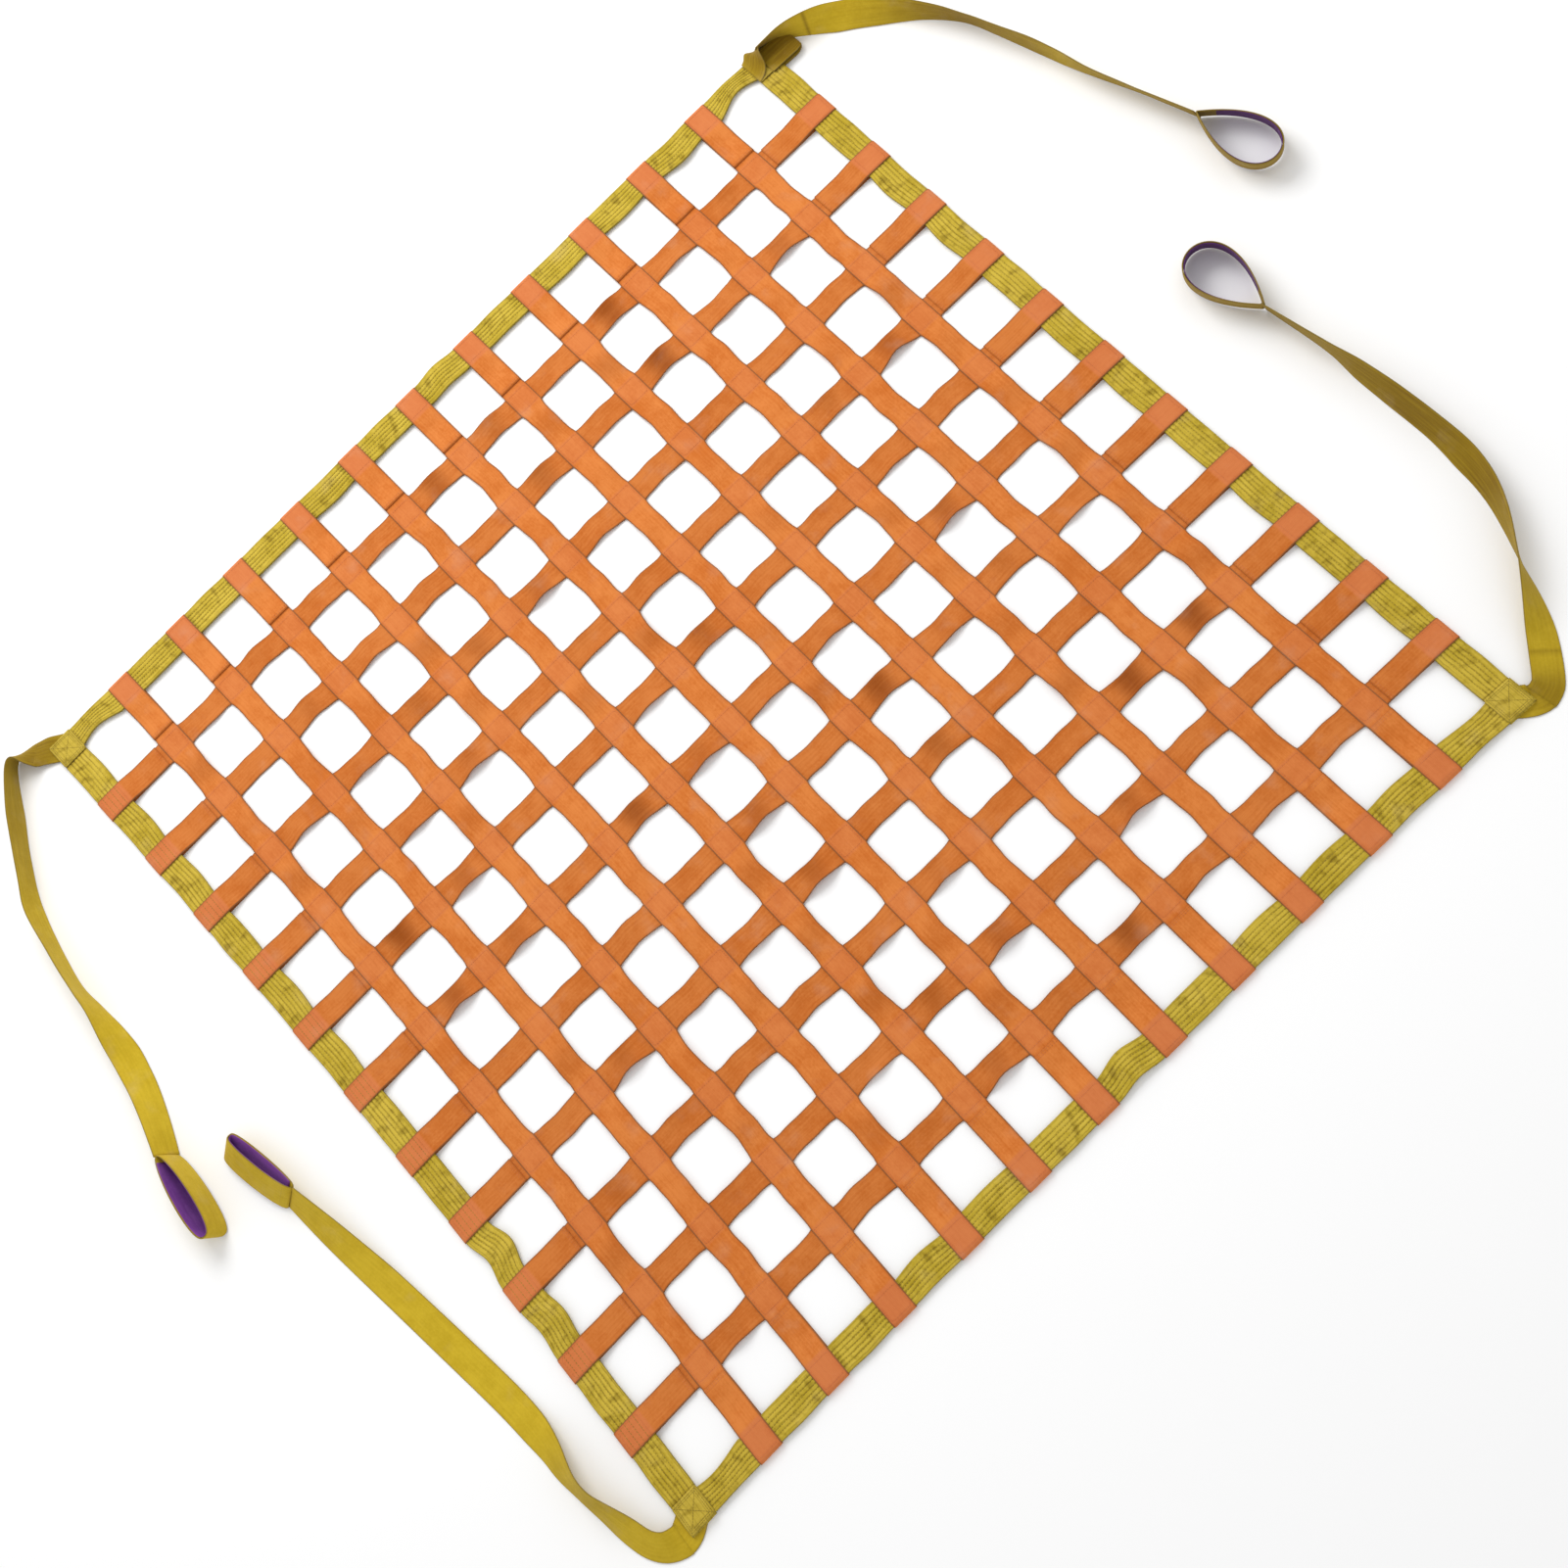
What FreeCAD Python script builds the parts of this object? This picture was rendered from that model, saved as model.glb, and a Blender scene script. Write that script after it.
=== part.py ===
import FreeCAD, Part
import math
import os

# Square climbing net of flat webbing, lying flat with +Z up. The origin is on the ground
# under the middle of the net. Millimetres.

# Mesh of the net
strips_each_way = 11        # webbing strips running each way
opening = 90.0              # clear side of one square opening
web_width = 45.0            # width of the mesh webbing
web_thickness = 2.5         # thickness of the mesh webbing
tail_gap = 8.0              # bare strip between the end of a sewn tail and the first crossing
step_length = 25.0          # length over which an upper strip steps down to the ground
slope_length = 32.0         # length over which a tail climbs onto the border

# Border: two plies of webbing all round
border_width = 50.0
border_thickness = 2.5      # one ply

# Lifting straps, one sewn under each corner
strap_width = 50.0
strap_thickness = 2.5
twist_length = 25.0         # length over which the strap turns from flat to standing on edge
joint_gap = 0.4             # clearance between pieces that move against each other

# Eye at the free end of each strap
eye_web_length = 368.0      # webbing in one eye, from its splice round and back
open_eye = 42.0             # outer radius of the round end of an eye that stands open
flat_eye = 24.0             # the same for an eye that has closed up as it lies
splice_length = 25.0        # from the splice's root to where the two limbs part
liner_thickness = 1.2
liner_margin = 1.0          # the liner is this much narrower than the strap at each edge

# Sewing thread
thread_width = 0.9
thread_height = 0.5
stitch_margin = 4.0         # distance of a stitched box from the edge of the webbing
border_rows = 5             # rows of stitching along each border
border_row_spacing = 7.0
wrap_rows = 4               # rows that also run over the wraps of the front border
wrap_row_spacing = 9.0
row_gap = 1.5               # bare end of each row of stitches, beside a wrap
tack_bars = 3               # bars of stitches on each side of an eye's splice
tack_spacing = 4.0

# Derived sizes
pitch = opening + web_width
inner_half = (strips_each_way + 1) * pitch / 2.0 - web_width / 2.0
outer_half = inner_half + border_width
corner_middle = inner_half + border_width / 2.0
border_level = max(web_thickness, strap_thickness)
border_top = border_level + 2.0 * border_thickness
wrap_top = border_top + web_thickness
strip_places = [(i - (strips_each_way - 1) / 2.0) * pitch for i in range(strips_each_way)]

# Each strap's corner, the end radius of its eye, and its route in plan, as distances outwards
# from the net's corner along X and along Y. The strap stands on edge, and the last point of
# the route is the hinge of its eye.
corners = {
    "back_left": (-1, 1, open_eye, [
        (18, 20), (38, 62), (30, 110), (-6, 152), (-78, 190), (-184, 228), (-304, 262),
        (-430, 294), (-548, 336), (-662, 354)]),
    "back_right": (1, 1, open_eye, [
        (18, 20), (40, 60), (36, 106), (-2, 138), (-72, 142), (-168, 158), (-292, 208),
        (-430, 230), (-568, 212), (-704, 186)]),
    "front_right": (1, -1, flat_eye, [
        (18, 20), (38, 60), (26, 106), (-16, 136), (-84, 138), (-172, 118), (-280, 102),
        (-402, 104), (-532, 118), (-662, 140), (-786, 154)]),
    "front_left": (-1, -1, flat_eye, [
        (18, 20), (40, 62), (38, 110), (8, 150), (-54, 178), (-146, 204), (-258, 228),
        (-384, 232), (-506, 220), (-602, 240), (-694, 266)]),
}
bend_share = 0.45           # share of the shorter run that each bend of a strap takes up


def export(name, shape):
    """Check one piece and write it as a STEP file named after its node."""
    if not shape.isValid() or shape.Volume <= 0:
        raise ValueError(name + " is not a valid solid")
    shape.exportStep("parts/" + name + ".step")
    print(name, len(shape.Solids), "solids", round(shape.Volume, 1), "mm3")


def polygon_face(points):
    """A flat face with straight sides through the points."""
    return Part.Face(Part.makePolygon(points + [points[0]]))


def box_between(x0, y0, z0, x1, y1, z1):
    """A box given by two opposite corners."""
    return Part.makeBox(x1 - x0, y1 - y0, z1 - z0, FreeCAD.Vector(x0, y0, z0))


def turned_to_y(shape):
    """A copy of a piece that runs along X, turned to run along Y."""
    copy = shape.copy()
    copy.rotate(FreeCAD.Vector(0, 0, 0), FreeCAD.Vector(0, 0, 1), 90)
    return copy


def end_outline(level):
    """Upper and lower side of one strip end, from the middle outwards, as (along, up) points.

    level is the height of the strip's underside between the crossings.
    """
    tail_end = inner_half - opening + tail_gap
    step_start = tail_end + tail_gap
    step_end = step_start + step_length
    slope_start = inner_half - slope_length
    top = level + 2.0 * web_thickness
    upper = [(tail_end, level + web_thickness), (tail_end, top), (step_start, top),
             (step_end, 2.0 * web_thickness), (slope_start, 2.0 * web_thickness),
             (inner_half, wrap_top), (outer_half, wrap_top)]
    lower = [(step_start, level), (step_end, 0.0), (outer_half, 0.0)]
    if level == 0.0:
        upper = [point for point in upper if point[0] not in (step_start, step_end)]
        lower = lower[-1:]
    return upper, lower


def wrap_end(side):
    """The rounded outer edge of a wrap, from its upper to its lower side."""
    edge = side * (outer_half + web_thickness)
    middle = side * (outer_half + web_thickness * math.sqrt(0.5))
    high = wrap_top - web_thickness
    low = web_thickness
    rise = web_thickness * math.sqrt(0.5)
    top = FreeCAD.Vector(side * outer_half, 0, wrap_top)
    upper = FreeCAD.Vector(edge, 0, high)
    lower = FreeCAD.Vector(edge, 0, low)
    bottom = FreeCAD.Vector(side * outer_half, 0, 0)
    return [
        Part.Arc(top, FreeCAD.Vector(middle, 0, high + rise), upper).toShape(),
        Part.LineSegment(upper, lower).toShape(),
        Part.Arc(lower, FreeCAD.Vector(middle, 0, low - rise), bottom).toShape(),
    ]


def strip(level):
    """One mesh strip along X, centred on the X axis, wrapped round the border at both ends."""
    upper, lower = end_outline(level)
    right_top = [FreeCAD.Vector(x, 0, z) for x, z in upper]
    left_top = [FreeCAD.Vector(-x, 0, z) for x, z in reversed(upper)]
    right_bottom = [FreeCAD.Vector(x, 0, z) for x, z in reversed(lower)]
    left_bottom = [FreeCAD.Vector(-x, 0, z) for x, z in lower]
    edges = list(Part.makePolygon(left_top + right_top).Edges)
    edges += wrap_end(1)
    edges += list(Part.makePolygon(right_bottom + left_bottom).Edges)
    edges += wrap_end(-1)
    outline = Part.Face(Part.Wire(Part.__sortEdges__(edges)))
    for side in (-1, 1):
        slot = polygon_face([
            FreeCAD.Vector(side * outer_half, 0, web_thickness),
            FreeCAD.Vector(side * outer_half, 0, border_top),
            FreeCAD.Vector(side * inner_half, 0, border_top),
            FreeCAD.Vector(side * (inner_half - slope_length), 0, web_thickness)])
        outline = outline.cut(slot)
    solid = outline.Faces[0].extrude(FreeCAD.Vector(0, web_width, 0))
    solid.translate(FreeCAD.Vector(0, -web_width / 2.0, 0))
    return solid.Solids[0]


def make_strips():
    """Strips along Y lie on the ground, and strips along X pass over them."""
    over = strip(web_thickness)
    under = turned_to_y(strip(0.0))
    for number, place in enumerate(strip_places, 1):
        export("strip_x_%02d" % number, over.translated(FreeCAD.Vector(0, place, 0)))
        export("strip_y_%02d" % number, under.translated(FreeCAD.Vector(place, 0, 0)))


def make_borders():
    """Two plies on each side. They lap at the corners, one ply of each side over the other."""
    plies = {"lower": border_level, "upper": border_level + border_thickness}
    for ply, level in plies.items():
        for side, place in (("front", -1), ("back", 1)):
            half = outer_half if ply == "lower" else inner_half
            low, high = sorted((place * inner_half, place * outer_half))
            web = box_between(-half, low, level, half, high, level + border_thickness)
            export("border_%s_%s" % (side, ply), web)
        for side, place in (("left", -1), ("right", 1)):
            half = outer_half if ply == "upper" else inner_half
            low, high = sorted((place * inner_half, place * outer_half))
            web = box_between(low, -half, level, high, half, level + border_thickness)
            export("border_%s_%s" % (side, ply), web)


def box_stitch(width, crossed):
    """A square of stitches, centred on the origin, with its two diagonals if crossed."""
    half = width / 2.0 - stitch_margin
    inner = half - thread_width
    ring = box_between(-half, -half, 0, half, half, thread_height)
    ring = ring.cut(box_between(-inner, -inner, -1, inner, inner, thread_height + 1))
    if not crossed:
        return ring
    reach = (half - thread_width / 2.0) * math.sqrt(2.0)
    bar = box_between(-reach, -thread_width / 2.0, 0, reach, thread_width / 2.0, thread_height)
    for angle in (45, 135):
        diagonal = bar.copy()
        diagonal.rotate(FreeCAD.Vector(0, 0, 0), FreeCAD.Vector(0, 0, 1), angle)
        ring = ring.fuse(diagonal)
    return ring.removeSplitter()


def make_corner_patches():
    """A sewn square of webbing over each corner, and its box of stitches."""
    half = border_width / 2.0
    stitches = []
    for corner, (side_x, side_y, _, _) in corners.items():
        x = side_x * corner_middle
        y = side_y * corner_middle
        patch = box_between(x - half, y - half, border_top, x + half, y + half, wrap_top)
        export("corner_patch_" + corner, patch)
        stitches.append(box_stitch(border_width, True).translated(FreeCAD.Vector(x, y, wrap_top)))
    export("corner_stitches", Part.makeCompound(stitches))


def make_crossing_stitches():
    """A box of stitches on every crossing of two strips."""
    ring = box_stitch(web_width, False)
    level = 2.0 * web_thickness
    places = [(x, y) for x in strip_places for y in strip_places]
    rings = [ring.translated(FreeCAD.Vector(x, y, level)) for x, y in places]
    export("crossing_stitches", Part.makeCompound(rings))


def row_offsets(count, spacing):
    """Places of evenly spaced rows about a middle line."""
    return [(i - (count - 1) / 2.0) * spacing for i in range(count)]


def border_row_stretches():
    """Bare stretches of a border between its wraps and corner patches, as (start, end)."""
    edges = [-inner_half]
    for place in strip_places:
        edges += [place - web_width / 2.0, place + web_width / 2.0]
    edges.append(inner_half)
    return [(edges[i] + row_gap, edges[i + 1] - row_gap) for i in range(0, len(edges), 2)]


def make_border_stitches():
    """Rows of stitches along the borders, and those over the wraps of the front border."""
    half = thread_width / 2.0
    rows = []
    for side in (-1, 1):
        for offset in row_offsets(border_rows, border_row_spacing):
            across = side * corner_middle + offset
            for start, end in border_row_stretches():
                row = box_between(start, across - half, border_top,
                                  end, across + half, border_top + thread_height)
                rows.append(row)
                rows.append(turned_to_y(row))
    for place in strip_places:
        for offset in row_offsets(wrap_rows, wrap_row_spacing):
            rows.append(box_between(
                place - web_width / 2.0 + row_gap, offset - corner_middle - half, wrap_top,
                place + web_width / 2.0 - row_gap, offset - corner_middle + half,
                wrap_top + thread_height))
    export("border_stitches", Part.makeCompound(rows))


def make_tail_seams():
    """The seam across the end of each tail, where it is sewn down to its own strip."""
    along = inner_half - opening + tail_gap + stitch_margin
    reach = web_width / 2.0 - stitch_margin
    seams = []
    for side in (-1, 1):
        for place in strip_places:
            low = side * along - thread_width
            high = side * along + thread_width
            over_top = 3.0 * web_thickness
            seams.append(box_between(low, place - reach, over_top,
                                     high, place + reach, over_top + thread_height))
            under_top = 2.0 * web_thickness
            seams.append(turned_to_y(box_between(low, place - reach, under_top,
                                                 high, place + reach,
                                                 under_top + thread_height)))
    export("tail_seams", Part.makeCompound(seams))


def route_points(corner):
    """A strap's route on the ground plane, in the net's own frame."""
    side_x, side_y, _, offsets = corners[corner]
    return [FreeCAD.Vector(side_x * (outer_half + x), side_y * (outer_half + y), 0)
            for x, y in offsets]


def route_spans(points):
    """The route as straight spans joined by tangent arcs.

    Each span is (start, middle, end, centre): a straight one has no middle and no centre.
    """
    spans = []
    start = points[0]
    radii = []
    for before, here, after in zip(points, points[1:], points[2:]):
        arriving = (here - before).normalize()
        leaving = (after - here).normalize()
        shorter = min((here - before).Length, (after - here).Length)
        turn = arriving.getAngle(leaving)
        setback = bend_share * shorter
        radius = setback / math.tan(turn / 2.0)
        arc_start = here - arriving * setback
        arc_end = here + leaving * setback
        inward = (leaving - arriving).normalize()
        centre = here + inward * (radius / math.cos(turn / 2.0))
        spans.append((start, None, arc_start, None))
        spans.append((arc_start, centre - inward * radius, arc_end, centre))
        start = arc_end
        radii.append(round(radius))
    spans.append((start, None, points[-1], None))
    print("bend radii", radii)
    return spans


def shifted_edge(span, side, half):
    """One long edge of a band: the span moved half the band's thickness to one side."""
    start, middle, end, centre = span
    if centre is None:
        along = (end - start).normalize()
        across = FreeCAD.Vector(-along.y, along.x, 0) * (side * half)
        return Part.LineSegment(start + across, end + across).toShape()
    left_turn = (middle - start).cross(end - middle).z > 0
    outwards = -side if left_turn else side
    radius = (start - centre).Length
    scale = (radius + outwards * half) / radius
    moved = [centre + (point - centre) * scale for point in (start, middle, end)]
    return Part.Arc(*moved).toShape()


def band_on_edge(points):
    """A strap of the given route, standing on edge on the ground, and its length."""
    spans = route_spans(points)
    half = strap_thickness / 2.0
    left = [shifted_edge(span, 1, half) for span in spans]
    right = [shifted_edge(span, -1, half) for span in spans]
    caps = [
        Part.LineSegment(left[0].Vertexes[0].Point, right[0].Vertexes[0].Point).toShape(),
        Part.LineSegment(left[-1].Vertexes[-1].Point, right[-1].Vertexes[-1].Point).toShape(),
    ]
    outline = Part.Wire(Part.__sortEdges__(left + right + caps))
    solid = Part.Face(outline).extrude(FreeCAD.Vector(0, 0, strap_width))
    middle_edges = [shifted_edge(span, 1, 0.0) for span in spans]
    return solid, sum(edge.Length for edge in middle_edges)


def strap_section(centre, along, angle):
    """A rectangle across the strap, turned by angle from lying flat to standing on edge."""
    across = FreeCAD.Vector(-along.y, along.x, 0)
    up = FreeCAD.Vector(0, 0, 1)
    wide = across * math.cos(angle) + up * math.sin(angle)
    thick = up * math.cos(angle) - across * math.sin(angle)
    height = (strap_width * math.sin(angle) + strap_thickness * math.cos(angle)) / 2.0
    middle = centre + up * height
    wide = wide * (strap_width / 2.0)
    thick = thick * (strap_thickness / 2.0)
    corner_points = [middle + wide + thick, middle - wide + thick,
                     middle - wide - thick, middle + wide - thick]
    return Part.makePolygon(corner_points + [corner_points[0]])


def strap_root(sewn_end, hinge, along):
    """The strap's flat end under the corner and its twist up to the hinge."""
    twist_start = hinge - along * twist_length
    sections = [strap_section(sewn_end, (twist_start - sewn_end).normalize(), 0.0)]
    turns = 6
    for i in range(turns + 1):
        place = twist_start + along * (twist_length * i / turns)
        sections.append(strap_section(place, along, math.pi / 2.0 * i / turns))
    return Part.makeLoft(sections, True, True)


def eye_length(end_radius):
    """Distance from an eye's hinge to the middle of its round end."""
    return (eye_web_length - math.pi * end_radius) / 2.0


def teardrop(start, end, root_radius, end_radius):
    """A flat teardrop along X: the outline round a small circle at start and a large one at end."""
    lean = math.asin((end_radius - root_radius) / (end - start))
    outward = FreeCAD.Vector(-math.sin(lean), math.cos(lean), 0)
    mirrored = FreeCAD.Vector(outward.x, -outward.y, 0)
    small = FreeCAD.Vector(start, 0, 0)
    large = FreeCAD.Vector(end, 0, 0)
    root_top = small + outward * root_radius
    end_top = large + outward * end_radius
    root_bottom = small + mirrored * root_radius
    end_bottom = large + mirrored * end_radius
    return Part.Face(Part.Wire([
        Part.LineSegment(root_top, end_top).toShape(),
        Part.Arc(end_top, FreeCAD.Vector(end + end_radius, 0, 0), end_bottom).toShape(),
        Part.LineSegment(end_bottom, root_bottom).toShape(),
        Part.Arc(root_bottom, FreeCAD.Vector(start - root_radius, 0, 0), root_top).toShape(),
    ]))


def inner_teardrop(end_radius, depth):
    """The eye's teardrop moved inwards from its outer face by depth, from the splice's end."""
    end = eye_length(end_radius)
    slope = (end_radius - strap_thickness) / end
    root_radius = strap_thickness + slope * splice_length - depth
    return teardrop(splice_length, end, root_radius, end_radius - depth)


def eye_pieces(end_radius):
    """The eye's webbing, its liner and its tacks, along X with the hinge at the origin."""
    up = FreeCAD.Vector(0, 0, strap_width)
    end = eye_length(end_radius)
    outer = teardrop(0.0, end, strap_thickness, end_radius)
    inner = inner_teardrop(end_radius, strap_thickness)
    loop = outer.cut(inner).Faces[0].extrude(up)
    hollow = inner_teardrop(end_radius, strap_thickness + liner_thickness)
    liner = inner.cut(hollow).Faces[0].extrude(up - FreeCAD.Vector(0, 0, 2.0 * liner_margin))
    liner.translate(FreeCAD.Vector(0, 0, liner_margin))
    lean = math.asin((end_radius - strap_thickness) / end)
    bars = []
    for i in range(tack_bars):
        along = tack_spacing * (i + 1)
        bar = box_between(along, strap_thickness, stitch_margin,
                          along + thread_width, strap_thickness + thread_height,
                          strap_width - stitch_margin)
        bar.rotate(FreeCAD.Vector(0, 0, 0), FreeCAD.Vector(0, 0, 1), math.degrees(lean))
        bars += [bar, bar.mirror(FreeCAD.Vector(0, 0, 0), FreeCAD.Vector(0, 1, 0))]
    return {"eye": loop, "eye_liner": liner, "eye_tacks": Part.makeCompound(bars)}


def make_straps():
    """Root, free length and eye of the strap at each corner."""
    for corner, (side_x, side_y, end_radius, _) in corners.items():
        points = route_points(corner)
        sewn_end = FreeCAD.Vector(side_x * corner_middle, side_y * corner_middle, 0)
        first = (points[1] - points[0]).normalize()
        last = (points[-1] - points[-2]).normalize()
        export("strap_root_" + corner, strap_root(sewn_end, points[0], first))
        free = [points[0] + first * joint_gap] + points[1:-1]
        free.append(points[-1] - last * (strap_thickness + joint_gap))
        band, length = band_on_edge(free)
        export("strap_" + corner, band)
        section = strap_width * strap_thickness
        print("strap length", round(length, 1), "volume share", round(band.Volume / section / length, 4))
        print("hinge", points[0], "axis", first, "eye", points[-1], "heading", last)
        heading = math.degrees(math.atan2(last.y, last.x))
        for name, shape in eye_pieces(end_radius).items():
            shape.rotate(FreeCAD.Vector(0, 0, 0), FreeCAD.Vector(0, 0, 1), heading)
            shape.translate(points[-1])
            export("%s_%s" % (name, corner), shape)


os.makedirs("parts", exist_ok=True)
make_strips()
make_borders()
make_corner_patches()
make_crossing_stitches()
make_border_stitches()
make_tail_seams()
make_straps()
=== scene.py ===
"""Looks of a square climbing net of flat webbing, with a lifting strap at each corner.

Everything is in metres, +Z up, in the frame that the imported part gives.
"""
import logging
import math
from dataclasses import dataclass, field
from enum import Enum
from typing import Callable, Optional, Sequence

import bpy
import numpy as np
from mathutils import Matrix, Vector


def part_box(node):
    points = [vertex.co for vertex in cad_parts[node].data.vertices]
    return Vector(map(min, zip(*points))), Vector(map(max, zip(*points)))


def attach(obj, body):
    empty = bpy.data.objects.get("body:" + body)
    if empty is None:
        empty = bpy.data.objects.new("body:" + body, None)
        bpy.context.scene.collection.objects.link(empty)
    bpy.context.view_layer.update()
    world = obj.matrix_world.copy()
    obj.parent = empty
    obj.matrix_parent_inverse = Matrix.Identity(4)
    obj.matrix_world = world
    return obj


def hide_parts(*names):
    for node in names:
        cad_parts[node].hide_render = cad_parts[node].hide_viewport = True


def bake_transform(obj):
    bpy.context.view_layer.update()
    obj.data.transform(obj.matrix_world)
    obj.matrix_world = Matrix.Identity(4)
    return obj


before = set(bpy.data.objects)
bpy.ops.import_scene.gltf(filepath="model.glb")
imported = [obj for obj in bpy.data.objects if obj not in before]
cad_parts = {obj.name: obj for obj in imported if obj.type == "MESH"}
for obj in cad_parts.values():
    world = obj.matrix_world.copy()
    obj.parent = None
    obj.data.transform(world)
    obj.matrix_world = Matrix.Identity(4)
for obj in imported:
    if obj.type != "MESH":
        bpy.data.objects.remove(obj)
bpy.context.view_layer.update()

log = logging.getLogger("climbing_net")

MM = 0.001
TRIM = 0.3 * MM  # how far a drawn web stops short of its packed edge
TAIL_GAP = 8 * MM  # from a crossing to the tail that ends before it
THREAD_STEP = 6 * MM  # spacing of the points that lay a line of stitches on the net
Colour = tuple[float, float, float]
Placer = Callable[[np.ndarray], np.ndarray]
Socket = bpy.types.NodeSocket


class Corner(Enum):
    """The net's corners, and the way each lies from the middle along X and Y."""

    BACK_LEFT = (-1, 1)
    BACK_RIGHT = (1, 1)
    FRONT_RIGHT = (1, -1)
    FRONT_LEFT = (-1, -1)

    @property
    def label(self) -> str:
        """The corner's name as it ends the names of its pieces."""
        return self.name.lower()


class Run(Enum):
    """The way that a length of webbing runs across the net."""

    ALONG_X = "x"
    ALONG_Y = "y"

    def points(self, along: np.ndarray, aside: np.ndarray, height: np.ndarray) -> np.ndarray:
        """Points given along and beside the run, turned into the net's frame.

        Args:
            along: Places along the run.
            aside: Places to the left of it.
            height: Heights.

        Returns:
            The points.
        """
        if self is Run.ALONG_X:
            return np.stack([along, aside, height], -1)
        return np.stack([-aside, along, height], -1)


class Side(Enum):
    """The sides of the border: the way each runs, and its place across that run."""

    FRONT = (Run.ALONG_X, -1)
    BACK = (Run.ALONG_X, 1)
    LEFT = (Run.ALONG_Y, 1)
    RIGHT = (Run.ALONG_Y, -1)


def unit(vectors: np.ndarray) -> np.ndarray:
    """Vectors scaled to a length of one."""
    return vectors / np.maximum(np.linalg.norm(vectors, axis=-1, keepdims=True), 1e-12)


def smooth(values: np.ndarray, passes: int) -> np.ndarray:
    """Values along a line, each averaged with its neighbours, with both ends kept.

    Args:
        values: One value or point per station.
        passes: How many times the averaging is done.

    Returns:
        The smoothed copy.
    """
    out = np.array(values, float)
    for _ in range(passes):
        out[1:-1] = 0.25 * out[:-2] + 0.5 * out[1:-1] + 0.25 * out[2:]
    return out


def distances(points: np.ndarray) -> np.ndarray:
    """Distance along a line of points, from its first point to each."""
    steps = np.linalg.norm(np.diff(points, axis=0), axis=1)
    return np.concatenate([[0.0], np.cumsum(steps)])


def resampled(points: np.ndarray, spacing: float) -> np.ndarray:
    """The same line with its points evenly spaced.

    Args:
        points: The line.
        spacing: About how far apart the new points are.

    Returns:
        The new points.
    """
    along = distances(points)
    count = max(2, int(round(along[-1] / spacing)) + 1)
    places = np.linspace(0.0, along[-1], count)
    return np.stack([np.interp(places, along, points[:, k]) for k in range(points.shape[1])], -1)


# ---------------------------------------------------------------------------------------
# Sizes and how the net lies
# ---------------------------------------------------------------------------------------


@dataclass(frozen=True)
class NetSizes:
    """Sizes of the net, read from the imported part."""

    pitch: float
    web_width: float
    web_thickness: float
    inner_half: float
    outer_half: float
    border_low: float
    border_top: float
    strap_width: float
    strap_thickness: float
    strip_places: tuple[float, ...]

    @classmethod
    def from_frame(cls) -> "NetSizes":
        """Read the sizes from the boxes of a few nodes.

        Returns:
            The sizes.
        """
        first_low, first_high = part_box("strip_y_01")
        ply_low, ply_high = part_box("border_back_lower")
        top_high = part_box("border_back_upper")[1]
        patch_low, patch_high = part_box("corner_patch_back_right")
        root_low, root_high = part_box("strap_root_back_right")
        names = sorted(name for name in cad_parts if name.startswith("strip_y_"))
        middles = [sum(corner.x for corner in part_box(name)) / 2.0 for name in names]
        return cls(
            pitch=middles[1] - middles[0],
            web_width=first_high.x - first_low.x,
            web_thickness=patch_high.z - patch_low.z,
            inner_half=ply_low.y,
            outer_half=ply_high.y,
            border_low=ply_low.z,
            border_top=top_high.z,
            strap_width=root_high.z - root_low.z,
            strap_thickness=ply_high.z - ply_low.z,
            strip_places=tuple(middles),
        )

    @property
    def opening(self) -> float:
        """Clear side of one opening."""
        return self.pitch - self.web_width

    @property
    def openings(self) -> int:
        """Number of openings side by side across the net."""
        return len(self.strip_places) + 1

    @property
    def border_width(self) -> float:
        """Width of the border's webbing."""
        return self.outer_half - self.inner_half

    @property
    def border_middle(self) -> float:
        """Distance from the net's middle to the border's middle line."""
        return (self.inner_half + self.outer_half) / 2.0

    @property
    def wrap_top(self) -> float:
        """Height of the upper face of the wraps over the border."""
        return self.border_top + self.web_thickness

    def slack(self, along: np.ndarray) -> tuple[np.ndarray, np.ndarray]:
        """How free a web is between the crossings it is sewn at.

        Args:
            along: Places along the web.

        Returns:
            The number of the opening beside each place, and a share from 0 at the
            crossings to 1 half way between them.
        """
        cell = np.floor((along + self.inner_half + self.web_width / 2.0) / self.pitch)
        start = -self.inner_half + cell * self.pitch
        share = np.clip((along - start) / self.opening, 0.0, 1.0)
        return cell.astype(int), np.sin(np.pi * share) ** 2


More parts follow.
